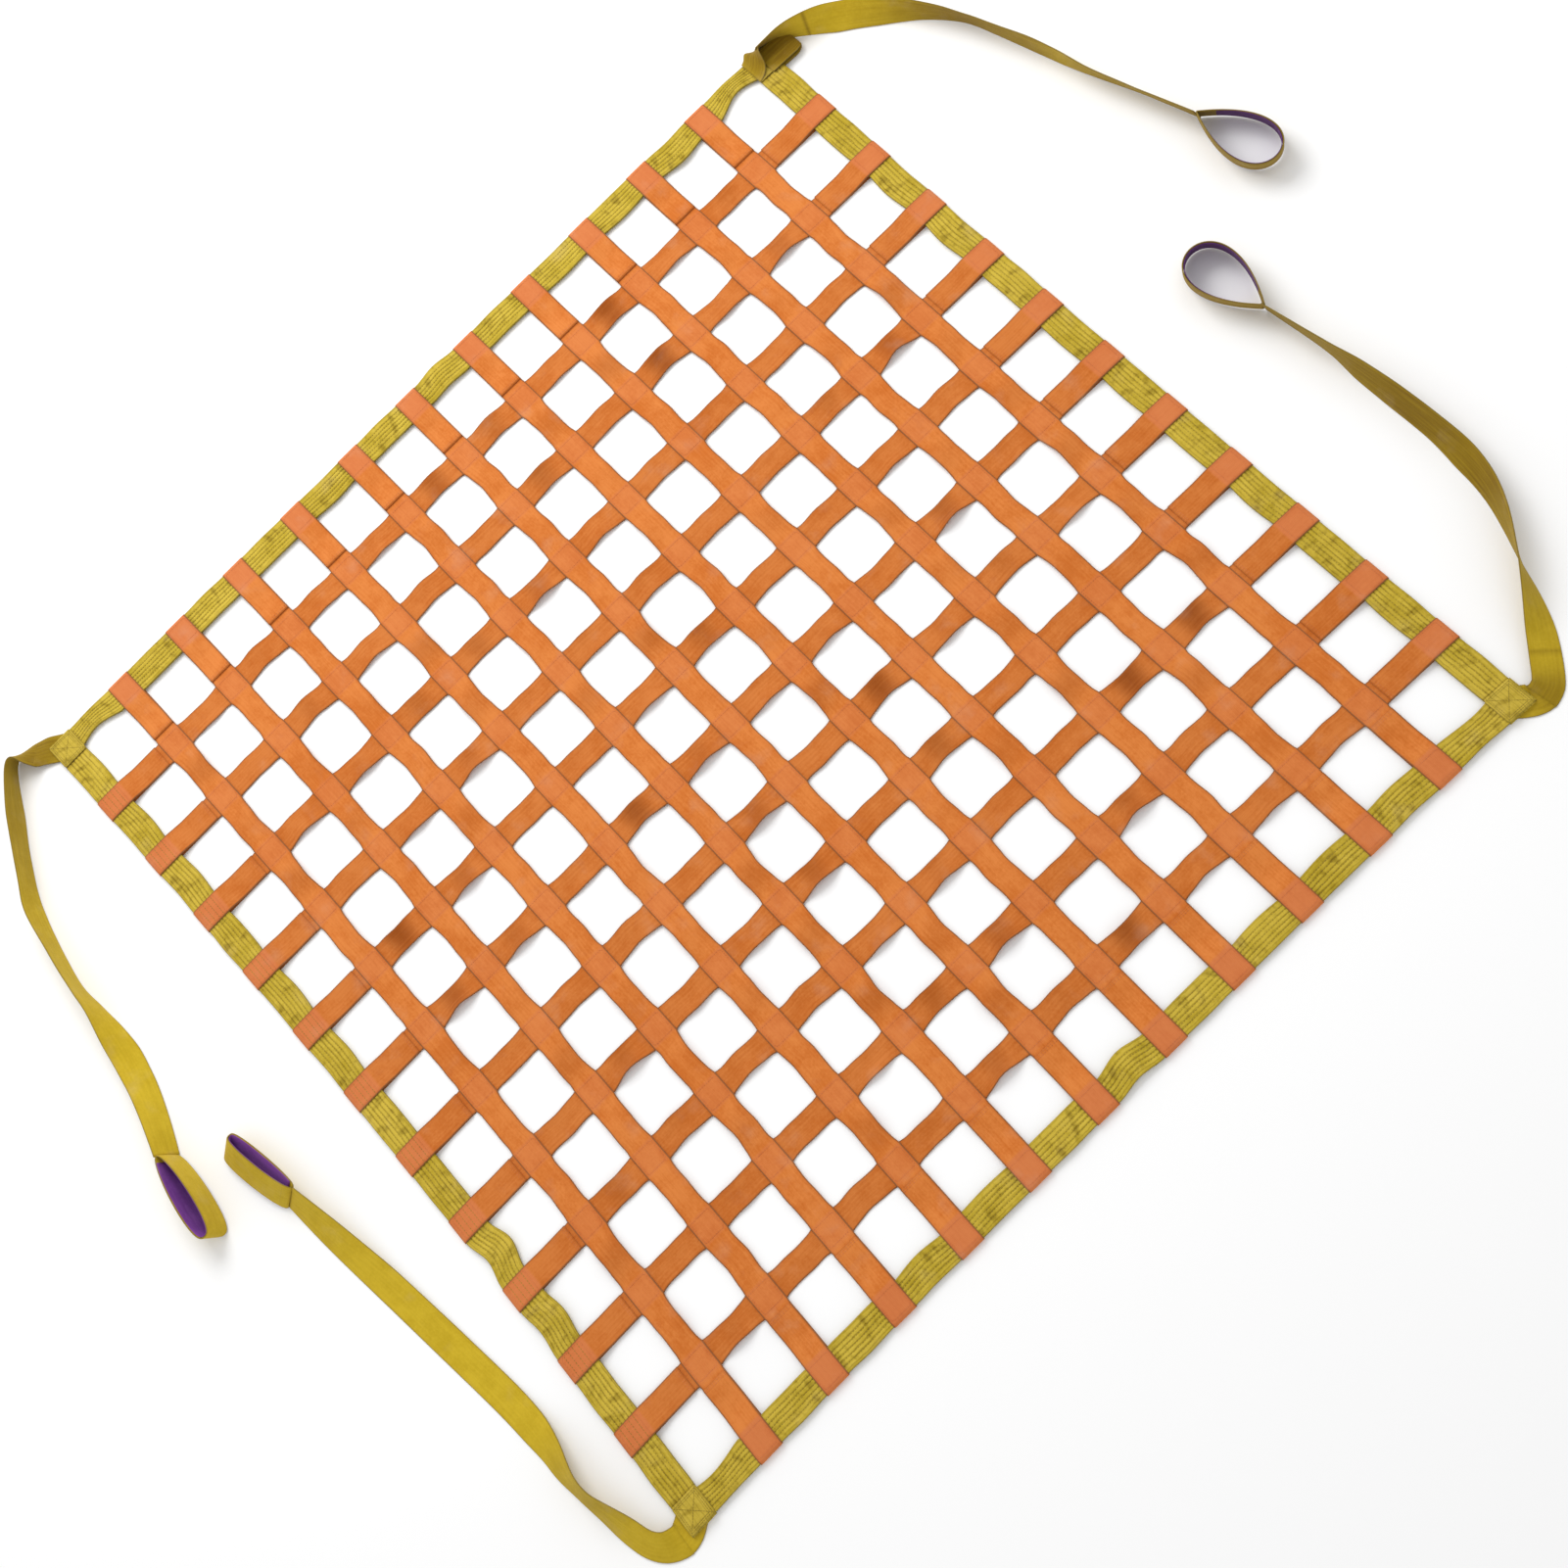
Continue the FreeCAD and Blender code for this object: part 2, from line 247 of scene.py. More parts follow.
@dataclass
class LaidNet:
    """The way the limp net lies on the floor: its corners pulled, its sides bowed."""

    sizes: NetSizes
    corner_pull: dict[Corner, tuple[float, float]] = field(default_factory=lambda: {
        Corner.FRONT_LEFT: (0.0, -9 * MM),
        Corner.FRONT_RIGHT: (11 * MM, -9 * MM),
        Corner.BACK_LEFT: (2 * MM, 0.0),
        Corner.BACK_RIGHT: (2 * MM, 1 * MM),
    })
    front_bow: float = 18 * MM
    back_bow: float = -6 * MM
    left_bow: float = -4 * MM
    right_bow: float = -11 * MM
    swell: float = 2.6 * MM

    def height(self, x: np.ndarray, y: np.ndarray) -> np.ndarray:
        """Rise of the net above the floor, in long low waves that sink towards the border.

        Args:
            x: Places along X.
            y: Places along Y.

        Returns:
            The rise at each place.
        """
        waves = (np.sin(x / 0.17 + 0.6) * np.cos(y / 0.23 + 1.1)
                 + 0.7 * np.sin((x + y) / 0.13 + 2.0) + 0.5 * np.cos((x - 1.4 * y) / 0.31))
        reach = np.maximum(np.abs(x), np.abs(y)) / self.sizes.outer_half
        return self.swell * np.clip(0.5 + 0.3 * waves, 0.0, 1.2) * np.clip(1.3 - reach, 0.25, 1.0)

    def place(self, points: np.ndarray) -> np.ndarray:
        """Move points of the flat net to where they lie.

        Args:
            points: Points of the regular net, any number by 3.

        Returns:
            The same points on the laid net.
        """
        x, y = points[..., 0], points[..., 1]
        u = np.clip(x / self.sizes.outer_half, -1.0, 1.0)
        v = np.clip(y / self.sizes.outer_half, -1.0, 1.0)
        shift = np.zeros(points.shape[:-1] + (2,))
        for corner, pull in self.corner_pull.items():
            side_x, side_y = corner.value
            share = (1.0 + side_x * u) * (1.0 + side_y * v) / 4.0
            shift += share[..., None] * np.array(pull)
        bow_x = (self.left_bow * (1.0 - u) + self.right_bow * (1.0 + u)) / 2.0
        bow_y = (self.front_bow * (1.0 - v) + self.back_bow * (1.0 + v)) / 2.0
        moved = np.array(points, float)
        moved[..., 0] += shift[..., 0] + bow_x * (1.0 - v ** 4)
        moved[..., 1] += shift[..., 1] + bow_y * (1.0 - u ** 2)
        moved[..., 2] += self.height(x, y)
        return moved


# ---------------------------------------------------------------------------------------
# Shader parts
# ---------------------------------------------------------------------------------------


class ShaderGraph:
    """A short way to add nodes to a node tree and to link them."""

    def __init__(self, tree: bpy.types.NodeTree) -> None:
        """Work on the given tree."""
        self.tree = tree

    def node(self, kind: str, **settings: object) -> bpy.types.Node:
        """Add a node.

        Args:
            kind: The node's type.
            settings: The node's properties.

        Returns:
            The node.
        """
        made = self.tree.nodes.new(kind)
        for name, value in settings.items():
            setattr(made, name, value)
        return made

    def feed(self, socket: Socket, value: object) -> None:
        """Give an input its value.

        Args:
            socket: The input.
            value: A socket to link to it, or a constant.
        """
        if isinstance(value, bpy.types.NodeSocket):
            self.tree.links.new(value, socket)
        elif isinstance(value, tuple) and len(value) == 3 and socket.type == "RGBA":
            socket.default_value = (*value, 1.0)
        else:
            socket.default_value = value

    def fed(self, kind: str, inputs: dict[str | int, object], **settings: object
            ) -> bpy.types.Node:
        """Add a node and feed its inputs.

        Args:
            kind: The node's type.
            inputs: Values by the name or number of the input.
            settings: The node's properties.

        Returns:
            The node.
        """
        made = self.node(kind, **settings)
        for socket, value in inputs.items():
            self.feed(made.inputs[socket], value)
        return made

    def math(self, operation: str, *values: object) -> Socket:
        """The result of a Math node."""
        return self.fed("ShaderNodeMath", dict(enumerate(values)), operation=operation).outputs[0]

    def ramp(self, value: object, low: object, high: float) -> Socket:
        """A smooth step from 0 at low to 1 at high."""
        return self.fed("ShaderNodeMapRange", {"Value": value, "From Min": low, "From Max": high},
                        interpolation_type="SMOOTHSTEP").outputs["Result"]

    def mix(self, share: object, first: object, second: object) -> Socket:
        """Two colours blended by a share from 0 to 1."""
        return self.fed("ShaderNodeMix", {0: share, 6: first, 7: second},
                        data_type="RGBA").outputs[2]

    def noise(self, vector: Socket, scale: float, detail: float = 2.0) -> Socket:
        """Noise from about 0 to 1."""
        return self.fed("ShaderNodeTexNoise", {"Vector": vector, "Scale": scale,
                                               "Detail": detail}).outputs["Fac"]

    def call(self, group: bpy.types.NodeTree, **inputs: object) -> bpy.types.Node:
        """A node group with its inputs fed, underscores in names standing for spaces."""
        named = {name.replace("_", " "): value for name, value in inputs.items()}
        return self.fed("ShaderNodeGroup", named, node_tree=group)


class SharedEffects:
    """The shader node groups that all the webbing finishes share, each built once."""

    def __init__(self) -> None:
        """Build the groups."""
        self.weave = self._weave()
        self.tone = self._tone()
        self.edge = self._edge()
        self.rows = self._rows()

    @staticmethod
    def _group(name: str, inputs: dict[str, str], outputs: dict[str, str]
               ) -> tuple[ShaderGraph, bpy.types.Node, bpy.types.Node]:
        """Start a group with the given sockets.

        Args:
            name: The group's name.
            inputs: Socket names and their kinds.
            outputs: Socket names and their kinds.

        Returns:
            The graph inside the group, and its input and output nodes.
        """
        tree = bpy.data.node_groups.new(name, "ShaderNodeTree")
        for sockets, way in ((inputs, "INPUT"), (outputs, "OUTPUT")):
            for socket, kind in sockets.items():
                tree.interface.new_socket(socket, in_out=way, socket_type="NodeSocket" + kind)
        graph = ShaderGraph(tree)
        return graph, graph.node("NodeGroupInput"), graph.node("NodeGroupOutput")

    @staticmethod
    def _parted(graph: ShaderGraph, given: bpy.types.Node) -> tuple[Socket, Socket]:
        """Places along the web and across it."""
        split = graph.fed("ShaderNodeSeparateXYZ", {0: given.outputs["Web Place"]})
        return split.outputs[0], split.outputs[1]

    @staticmethod
    def _drawn_out(graph: ShaderGraph, given: bpy.types.Node, along: float, across: float,
                   detail: float) -> Socket:
        """Noise with its own scale along and across the web.

        Args:
            graph: The graph inside the group.
            given: The group's input node.
            along: Scale along the web.
            across: Scale across it.
            detail: Detail of the noise.

        Returns:
            The noise.
        """
        stretch = graph.fed("ShaderNodeMapping", {
            "Vector": given.outputs["Web Place"], "Scale": (along, across, 1.0)},
            vector_type="POINT")
        return graph.noise(stretch.outputs[0], 1.0, detail)

    def _weave(self) -> bpy.types.NodeTree:
        """Chevron ribs of woven webbing, from places along and across it.

        Returns:
            A group with the ribs' height, and a mask of the gaps between them that the finishes use
            for painted shade.
        """
        graph, given, result = self._group(
            "woven ribs", {"Web Place": "Vector", "Rib Pitch": "Float", "Band Width": "Float"},
            {"Height": "Float", "Gap": "Float"})
        along, across = self._parted(graph, given)
        pitch = given.outputs["Rib Pitch"]
        zigzag = graph.math("PINGPONG", graph.math("ADD", across, 1.0), given.outputs["Band Width"])
        turn = graph.math("DIVIDE", graph.math("ADD", along, zigzag), pitch)
        rib = graph.math("SINE", graph.math("MULTIPLY", turn, 2.0 * math.pi))
        warp = graph.math("DIVIDE", across, graph.math("MULTIPLY", pitch, 0.8))
        cord = graph.math("SINE", graph.math("MULTIPLY", warp, 2.0 * math.pi))
        height = graph.math("MULTIPLY_ADD", graph.math("ADD", rib, graph.math(
            "MULTIPLY", cord, 0.6)), 0.3, 0.5)
        graph.feed(result.inputs["Height"], height)
        graph.feed(result.inputs["Gap"], graph.ramp(height, 0.42, 0.1))
        return graph.tree

    def _tone(self) -> bpy.types.NodeTree:
        """Slow changes of tone over a piece, streaks along it, fine fuzz and settled dust.

        Returns:
            A group with one mask for each.
        """
        graph, given, result = self._group(
            "tone and dust", {"Place": "Vector", "Web Place": "Vector"},
            {"Tone": "Float", "Streak": "Float", "Fuzz": "Float", "Dust": "Float"})
        place = given.outputs["Place"]
        broad = graph.math("MULTIPLY", graph.noise(place, 6.0, 2.0), 0.35)
        mottle = graph.math("MULTIPLY", graph.noise(place, 240.0, 2.0), 0.25)
        patchy = graph.math("MULTIPLY_ADD", graph.noise(place, 38.0, 5.0), 0.4, mottle)
        mixed = graph.math("ADD", broad, patchy)
        graph.feed(result.inputs["Tone"], graph.ramp(mixed, 0.38, 0.64))
        graph.feed(result.inputs["Streak"], self._drawn_out(graph, given, 11.0, 260.0, 3.0))
        graph.feed(result.inputs["Fuzz"], graph.noise(place, 1400.0, 2.0))
        graph.feed(result.inputs["Dust"], graph.ramp(graph.noise(place, 21.0, 6.0), 0.55, 0.8))
        return graph.tree

    def _edge(self) -> bpy.types.NodeTree:
        """Dark selvedges, painted shade and some wear: 1 at the very edge of a web, uneven, and 0
        inside it.

        Returns:
            A group with the painted edge shade and wear, and a wider, softer shade beside it.
        """
        graph, given, result = self._group(
            "shaded and worn selvedge", {"Web Place": "Vector", "Place": "Vector", "Half Width": "Float"},
            {"Wear": "Float", "Seam Shade": "Float"})
        across = self._parted(graph, given)[1]
        inside = graph.math("SUBTRACT", given.outputs["Half Width"],
                            graph.math("ABSOLUTE", across))
        ragged = graph.math("MULTIPLY_ADD", graph.noise(given.outputs["Place"], 300.0, 3.0),
                            2.2 * MM, 1.0 * MM)
        # The dark edge is painted shade standing in for the side faces' shade, mixed with some
        # wear.
        graph.feed(result.inputs["Wear"], graph.ramp(inside, ragged, 0.0))
        graph.feed(result.inputs["Seam Shade"], graph.ramp(inside, 6.0 * MM, 0.5 * MM))
        return graph.tree

    def _rows(self) -> bpy.types.NodeTree:
        """Painted shade along the grooves where rows of stitches pull a web down, and smudges
        between them.

        Returns:
            A group with one mask for each.
        """
        graph, given, result = self._group(
            "pulled rows", {"Web Place": "Vector", "Place": "Vector", "Row Pitch": "Float"},
            {"Line": "Float", "Smudge": "Float"})
        across = self._parted(graph, given)[1]
        place = given.outputs["Place"]
        wobble = graph.math("MULTIPLY_ADD", graph.noise(place, 70.0, 3.0), 5.0 * MM, -2.5 * MM)
        offset = graph.math("ADD", graph.math("ADD", across, wobble), 1.0)
        half_pitch = graph.math("MULTIPLY", given.outputs["Row Pitch"], 0.5)
        near = graph.math("PINGPONG", graph.math("DIVIDE", offset, half_pitch), 1.0)
        patch = graph.ramp(graph.noise(place, 28.0, 4.0), 0.2, 0.6)
        line = graph.math("MULTIPLY", graph.ramp(near, 0.42, 0.02), patch)
        graph.feed(result.inputs["Line"], line)
        graph.feed(result.inputs["Smudge"], graph.ramp(
            self._drawn_out(graph, given, 70.0, 38.0, 4.0), 0.5, 0.72))
        return graph.tree


@dataclass(frozen=True)
class WebbingFinish:
    """The finish of one kind of woven webbing."""

    name: str
    base: Colour
    deep: Colour
    sewn: Colour
    # Colour of the painted edge shade and wear at the selvedge.
    selvedge: Colour
    # Dark tone that the darkening share mixes in, mostly as painted shade; the border's painted
    # groove shade and smudges use it too.
    darkened: Colour
    half_width: float
    rib_pitch: float = 2.2 * MM
    band_width: float = 7.5 * MM
    relief: float = 0.35 * MM
    roughness: float = 0.78
    # Share of the painted edge shade and wear at the selvedge.
    wear: float = 0.5
    tone_share: float = 0.55
    streak_share: float = 0.9
    row_pitch: float = 0.0
    dust_share: float = 0.12
    dust: Colour = (0.62, 0.50, 0.38)
    sewn_share: float = 0.65
    groove_shade_share: float = 0.5
    smudge_share: float = 0.6
    gap_shade_share: float = 0.3
    edge_share: float = 0.28
    shine: float = 0.16
    sheen: float = 0.05

    def build(self, effects: SharedEffects) -> bpy.types.Material:
        """Make the material.

        Args:
            effects: The shared shader node groups.

        Returns:
            The material of this webbing.
        """
        material = bpy.data.materials.new(self.name)
        material.use_nodes = True
        graph = ShaderGraph(material.node_tree)
        shader = material.node_tree.nodes["Principled BSDF"]
        place = graph.node("ShaderNodeTexCoord").outputs["Object"]
        web = graph.node("ShaderNodeUVMap", uv_map="web").outputs[0]
        sewn = graph.node("ShaderNodeAttribute", attribute_name="sewn").outputs["Fac"]
        darkening = graph.node("ShaderNodeAttribute", attribute_name="darkening").outputs["Fac"]
        weave = graph.call(effects.weave, Web_Place=web, Rib_Pitch=self.rib_pitch,
                           Band_Width=self.band_width)
        tone = graph.call(effects.tone, Place=place, Web_Place=web)
        edge = graph.call(effects.edge, Web_Place=web, Place=place, Half_Width=self.half_width)

        shade = graph.math("MULTIPLY", tone.outputs["Tone"], self.tone_share)
        streak = graph.math("MULTIPLY_ADD", tone.outputs["Streak"], self.streak_share,
                            -0.45 * self.streak_share)
        colour = graph.mix(graph.math("ADD", shade, streak), self.base, self.deep)
        layers = [(sewn, self.sewn_share, self.sewn)]
        if self.row_pitch:
            rows = graph.call(effects.rows, Web_Place=web, Place=place,
                              Row_Pitch=self.row_pitch).outputs
            # Painted shade in the grooves under the rows of stitches, plus smudges between them.
            pulled = graph.math("ADD", graph.math("MULTIPLY", rows["Line"], self.groove_shade_share),
                                graph.math("MULTIPLY", rows["Smudge"], self.smudge_share))
            layers.append((pulled, graph.math("SUBTRACT", 1.0, sewn), self.darkened))
        # Darkening share: painted shade where a face turns from the light, folds or rolls over,
        # plus dark seam lines and an even darkening of the lower strips.
        blotch = graph.math("MULTIPLY_ADD", tone.outputs["Streak"], 0.6, 0.6)
        layers += [(darkening, blotch, self.darkened),
                   # Painted shade in the gaps between the ribs.
                   (weave.outputs["Gap"], self.gap_shade_share, self.deep),
                   (edge.outputs["Seam Shade"], self.edge_share, self.deep),
                   # Painted shade along the selvedge, with some wear.
                   (edge.outputs["Wear"], self.wear, self.selvedge),
                   (tone.outputs["Dust"], self.dust_share, self.dust)]
        for mask, share, tint in layers:
            colour = graph.mix(graph.math("MULTIPLY", mask, share), colour, tint)
        graph.feed(shader.inputs["Base Color"], colour)
        rough = graph.math("MULTIPLY_ADD", tone.outputs["Tone"], 0.12, self.roughness - 0.06)
        graph.feed(shader.inputs["Roughness"], rough)
        shader.inputs["Specular IOR Level"].default_value = self.shine
        shader.inputs["Sheen Weight"].default_value = self.sheen
        shader.inputs["Sheen Roughness"].default_value = 0.5

        fuzzy = graph.math("MULTIPLY_ADD", tone.outputs["Fuzz"], 0.35, weave.outputs["Height"])
        bump = graph.fed("ShaderNodeBump", {
            "Distance": self.relief, "Strength": 0.7, "Height": fuzzy})
        graph.feed(shader.inputs["Normal"], bump.outputs[0])
        return material


@dataclass(frozen=True)
class ThreadFinish:
    """The finish of sewing thread."""

    name: str
    base: Colour
    worn: Colour

    def build(self, effects: SharedEffects) -> bpy.types.Material:
        """Make the material, a little uneven from stitch to stitch.

        Args:
            effects: The shared shader node groups.

        Returns:
            The material of this thread.
        """
        material = bpy.data.materials.new(self.name)
        material.use_nodes = True
        graph = ShaderGraph(material.node_tree)
        shader = material.node_tree.nodes["Principled BSDF"]
        place = graph.node("ShaderNodeTexCoord").outputs["Object"]
        tone = graph.call(effects.tone, Place=place, Web_Place=place)
        graph.feed(shader.inputs["Base Color"], graph.mix(
            tone.outputs["Tone"], self.base, self.worn))
        graph.feed(shader.inputs["Roughness"], graph.math(
            "MULTIPLY_ADD", tone.outputs["Fuzz"], 0.2, 0.5))
        return material


@dataclass(frozen=True)
class Finishes:
    """Every material of the net."""

    mesh_webbing: bpy.types.Material
    border_webbing: bpy.types.Material
    strap_webbing: bpy.types.Material
    eye_liner: bpy.types.Material
    mesh_thread: bpy.types.Material
    border_thread: bpy.types.Material

    @classmethod
    def build(cls, sizes: NetSizes) -> "Finishes":
        """Make all the materials.

        Args:
            sizes: The net's sizes, for the widths of the webbing.

        Returns:
            The materials.
        """
        effects = SharedEffects()
        # Colours: base, deep, sewn, the selvedge's painted edge shade and wear, and the dark tone
        # of the painted shade.
        mesh = WebbingFinish(
            "orange mesh webbing", (0.68, 0.215, 0.044), (0.49, 0.105, 0.006),
            (0.60, 0.180, 0.066), (0.17, 0.075, 0.03), (0.27, 0.058, 0.003),
            sizes.web_width / 2.0 - TRIM, wear=0.75)
        border = WebbingFinish(
            "yellow border webbing", (0.60, 0.44, 0.05), (0.36, 0.25, 0.006),
            (0.56, 0.41, 0.085), (0.20, 0.15, 0.03), (0.17, 0.105, 0.001),
            sizes.border_width / 2.0, tone_share=0.6, streak_share=1.0,
            row_pitch=7 * MM, wear=0.8)
        strap = WebbingFinish(
            "yellow strap webbing", (0.60, 0.42, 0.02), (0.43, 0.285, 0.006),
            (0.56, 0.40, 0.05), (0.17, 0.12, 0.035), (0.15, 0.078, 0.001),
            sizes.strap_width / 2.0, rib_pitch=1.5 * MM, relief=0.25 * MM, tone_share=0.5,
            wear=0.8)
        liner = WebbingFinish(
            "purple liner webbing", (0.28, 0.08, 0.42), (0.16, 0.035, 0.24),
            (0.28, 0.10, 0.42), (0.30, 0.17, 0.22), (0.05, 0.008, 0.05),
            sizes.strap_width / 2.0, rib_pitch=1.5 * MM, relief=0.2 * MM, dust_share=0.05)
        return cls(
            mesh.build(effects), border.build(effects), strap.build(effects),
            liner.build(effects),
            ThreadFinish("orange thread", (0.62, 0.19, 0.06), (0.44, 0.11, 0.02)).build(effects),
            ThreadFinish("yellow thread", (0.30, 0.21, 0.008), (0.17, 0.11, 0.003)).build(effects))


# ---------------------------------------------------------------------------------------
# Webbing and stitches
# ---------------------------------------------------------------------------------------


def linked(name: str, data: bpy.types.ID) -> bpy.types.Object:
    """Put a new object with the given data into the scene.

    Args:
        name: The object's name.
        data: Its mesh, curve, camera or lamp.

    Returns:
        The object, at the origin.
    """
    made = bpy.data.objects.new(name, data)
    bpy.context.scene.collection.objects.link(made)
    return made


def mesh_object(name: str, vertices: Sequence[Sequence[float]], faces: list[tuple[int, ...]],
                edges: Optional[list[tuple[int, int]]] = None) -> bpy.types.Object:
    """Make a mesh object.

    Args:
        name: The object's name, and its mesh's.
        vertices: Its points.
        faces: Its faces, as numbers of points.
        edges: Its loose edges, if it has any.

    Returns:
        The object, at the origin.
    """
    mesh = bpy.data.meshes.new(name)
    mesh.from_pydata([tuple(v) for v in vertices], edges or [], faces)
    return linked(name, mesh)


def settled(holder: bpy.types.Object) -> bpy.types.Mesh:
    """Turn what a curve or a modifier makes into a plain mesh.

    Args:
        holder: The object that makes it, which is removed.

    Returns:
        The mesh.
    """
    graph = bpy.context.evaluated_depsgraph_get()
    mesh = bpy.data.meshes.new_from_object(holder.evaluated_get(graph))
    bpy.data.objects.remove(holder)
    return mesh


@dataclass
class Ribbon:
    """A length of webbing with thickness, built station by station along its middle line.

    Across its width it has lanes, given as shares of its half width. A cup bends the edges up,
    a relief adds height to the upper face, and two shares tint the finish: one where it is sewn,
    and one that darkens it, mostly with painted shade and also along dark seam lines.
    """

    name: str
    centre: np.ndarray
    across: np.ndarray
    half_width: np.ndarray
    thickness: float
    cup: Optional[np.ndarray] = None
    sewn: Optional[np.ndarray] = None
    darkening: Optional[np.ndarray] = None
    relief: Optional[Callable[[np.ndarray, np.ndarray], np.ndarray]] = None
    lanes: np.ndarray = field(default_factory=lambda: np.array(
        [-1.0, -0.96, -0.85, -0.6, -0.3, 0.0, 0.3, 0.6, 0.85, 0.96, 1.0]))

    def build(self, material: bpy.types.Material, place: Optional[Placer] = None
              ) -> bpy.types.Object:
        """Build the webbing's closed mesh.

        Args:
            material: The webbing's finish.
            place: Moves the finished points to where the net lies, if given.

        Returns:
            The new object.
        """
        stations, lanes = len(self.centre), len(self.lanes)
        along = distances(self.centre)
        forward = unit(np.gradient(self.centre, axis=0))
        facing = unit(np.cross(forward, self.across))
        reach = self.half_width[:, None] * self.lanes[None, :]
        edge = np.interp(np.abs(self.lanes), [0.0, 0.85, 0.96, 1.0], [1.0, 1.0, 0.9, 0.4])
        half = np.repeat(edge[None, :] * self.thickness / 2.0, stations, axis=0)
        lift = np.zeros((stations, lanes))
        if self.cup is not None:
            lift += self.cup[:, None] * self.lanes[None, :] ** 2
        crown = np.zeros((stations, lanes))
        if self.relief is not None:
            crown = self.relief(along[:, None], np.max(self.half_width) * self.lanes[None, :])
        middle = self.centre[:, None, :] + self.across[:, None, :] * reach[..., None]
        upper = middle + facing[:, None, :] * (lift + half + crown)[..., None]
        lower = middle + facing[:, None, :] * (lift - half)[..., None]
        rings = np.concatenate([upper, lower[:, ::-1]], axis=1)
        points = rings.reshape(-1, 3)
        if place is not None:
            points = place(points)
        ring = 2 * lanes
        faces = []
        for i in range(stations - 1):
            for j in range(ring):
                k = (j + 1) % ring
                faces.append((i * ring + j, (i + 1) * ring + j, (i + 1) * ring + k, i * ring + k))
        last = (stations - 1) * ring
        for j in range(lanes - 1):
            cap = (j, j + 1, ring - 2 - j, ring - 1 - j)
            faces.append(cap)
            faces.append(tuple(last + index for index in reversed(cap)))
        made = mesh_object(self.name, points, faces)
        level = np.tile(np.max(self.half_width) * self.lanes, (stations, 1))
        self._dress(made, along, np.concatenate([level, level[:, ::-1]], axis=1), material)
        return made

    def _dress(self, made: bpy.types.Object, along: np.ndarray, reach: np.ndarray,
               material: bpy.types.Material) -> None:
        """Give the mesh its place-on-the-web map, its shares, smooth faces and finish.

        Args:
            made: The webbing's object.
            along: Distance of each station along the web.
            reach: Distance of each point of each station from the web's middle line.
            material: The webbing's finish.
        """
        mesh = made.data
        ring = reach.shape[1]
        flat = np.stack([np.repeat(along, ring), reach.reshape(-1)], -1)
        corners = np.zeros(len(mesh.loops), int)
        mesh.loops.foreach_get("vertex_index", corners)
        mesh.uv_layers.new(name="web").data.foreach_set("uv", flat[corners].reshape(-1))
        for label, shares in (("sewn", self.sewn), ("darkening", self.darkening)):
            shares = np.zeros(len(along)) if shares is None else shares
            attribute = mesh.attributes.new(label, "FLOAT", "POINT")
            attribute.data.foreach_set("value", np.repeat(shares, ring))
        mesh.shade_smooth()
        mesh.materials.append(material)


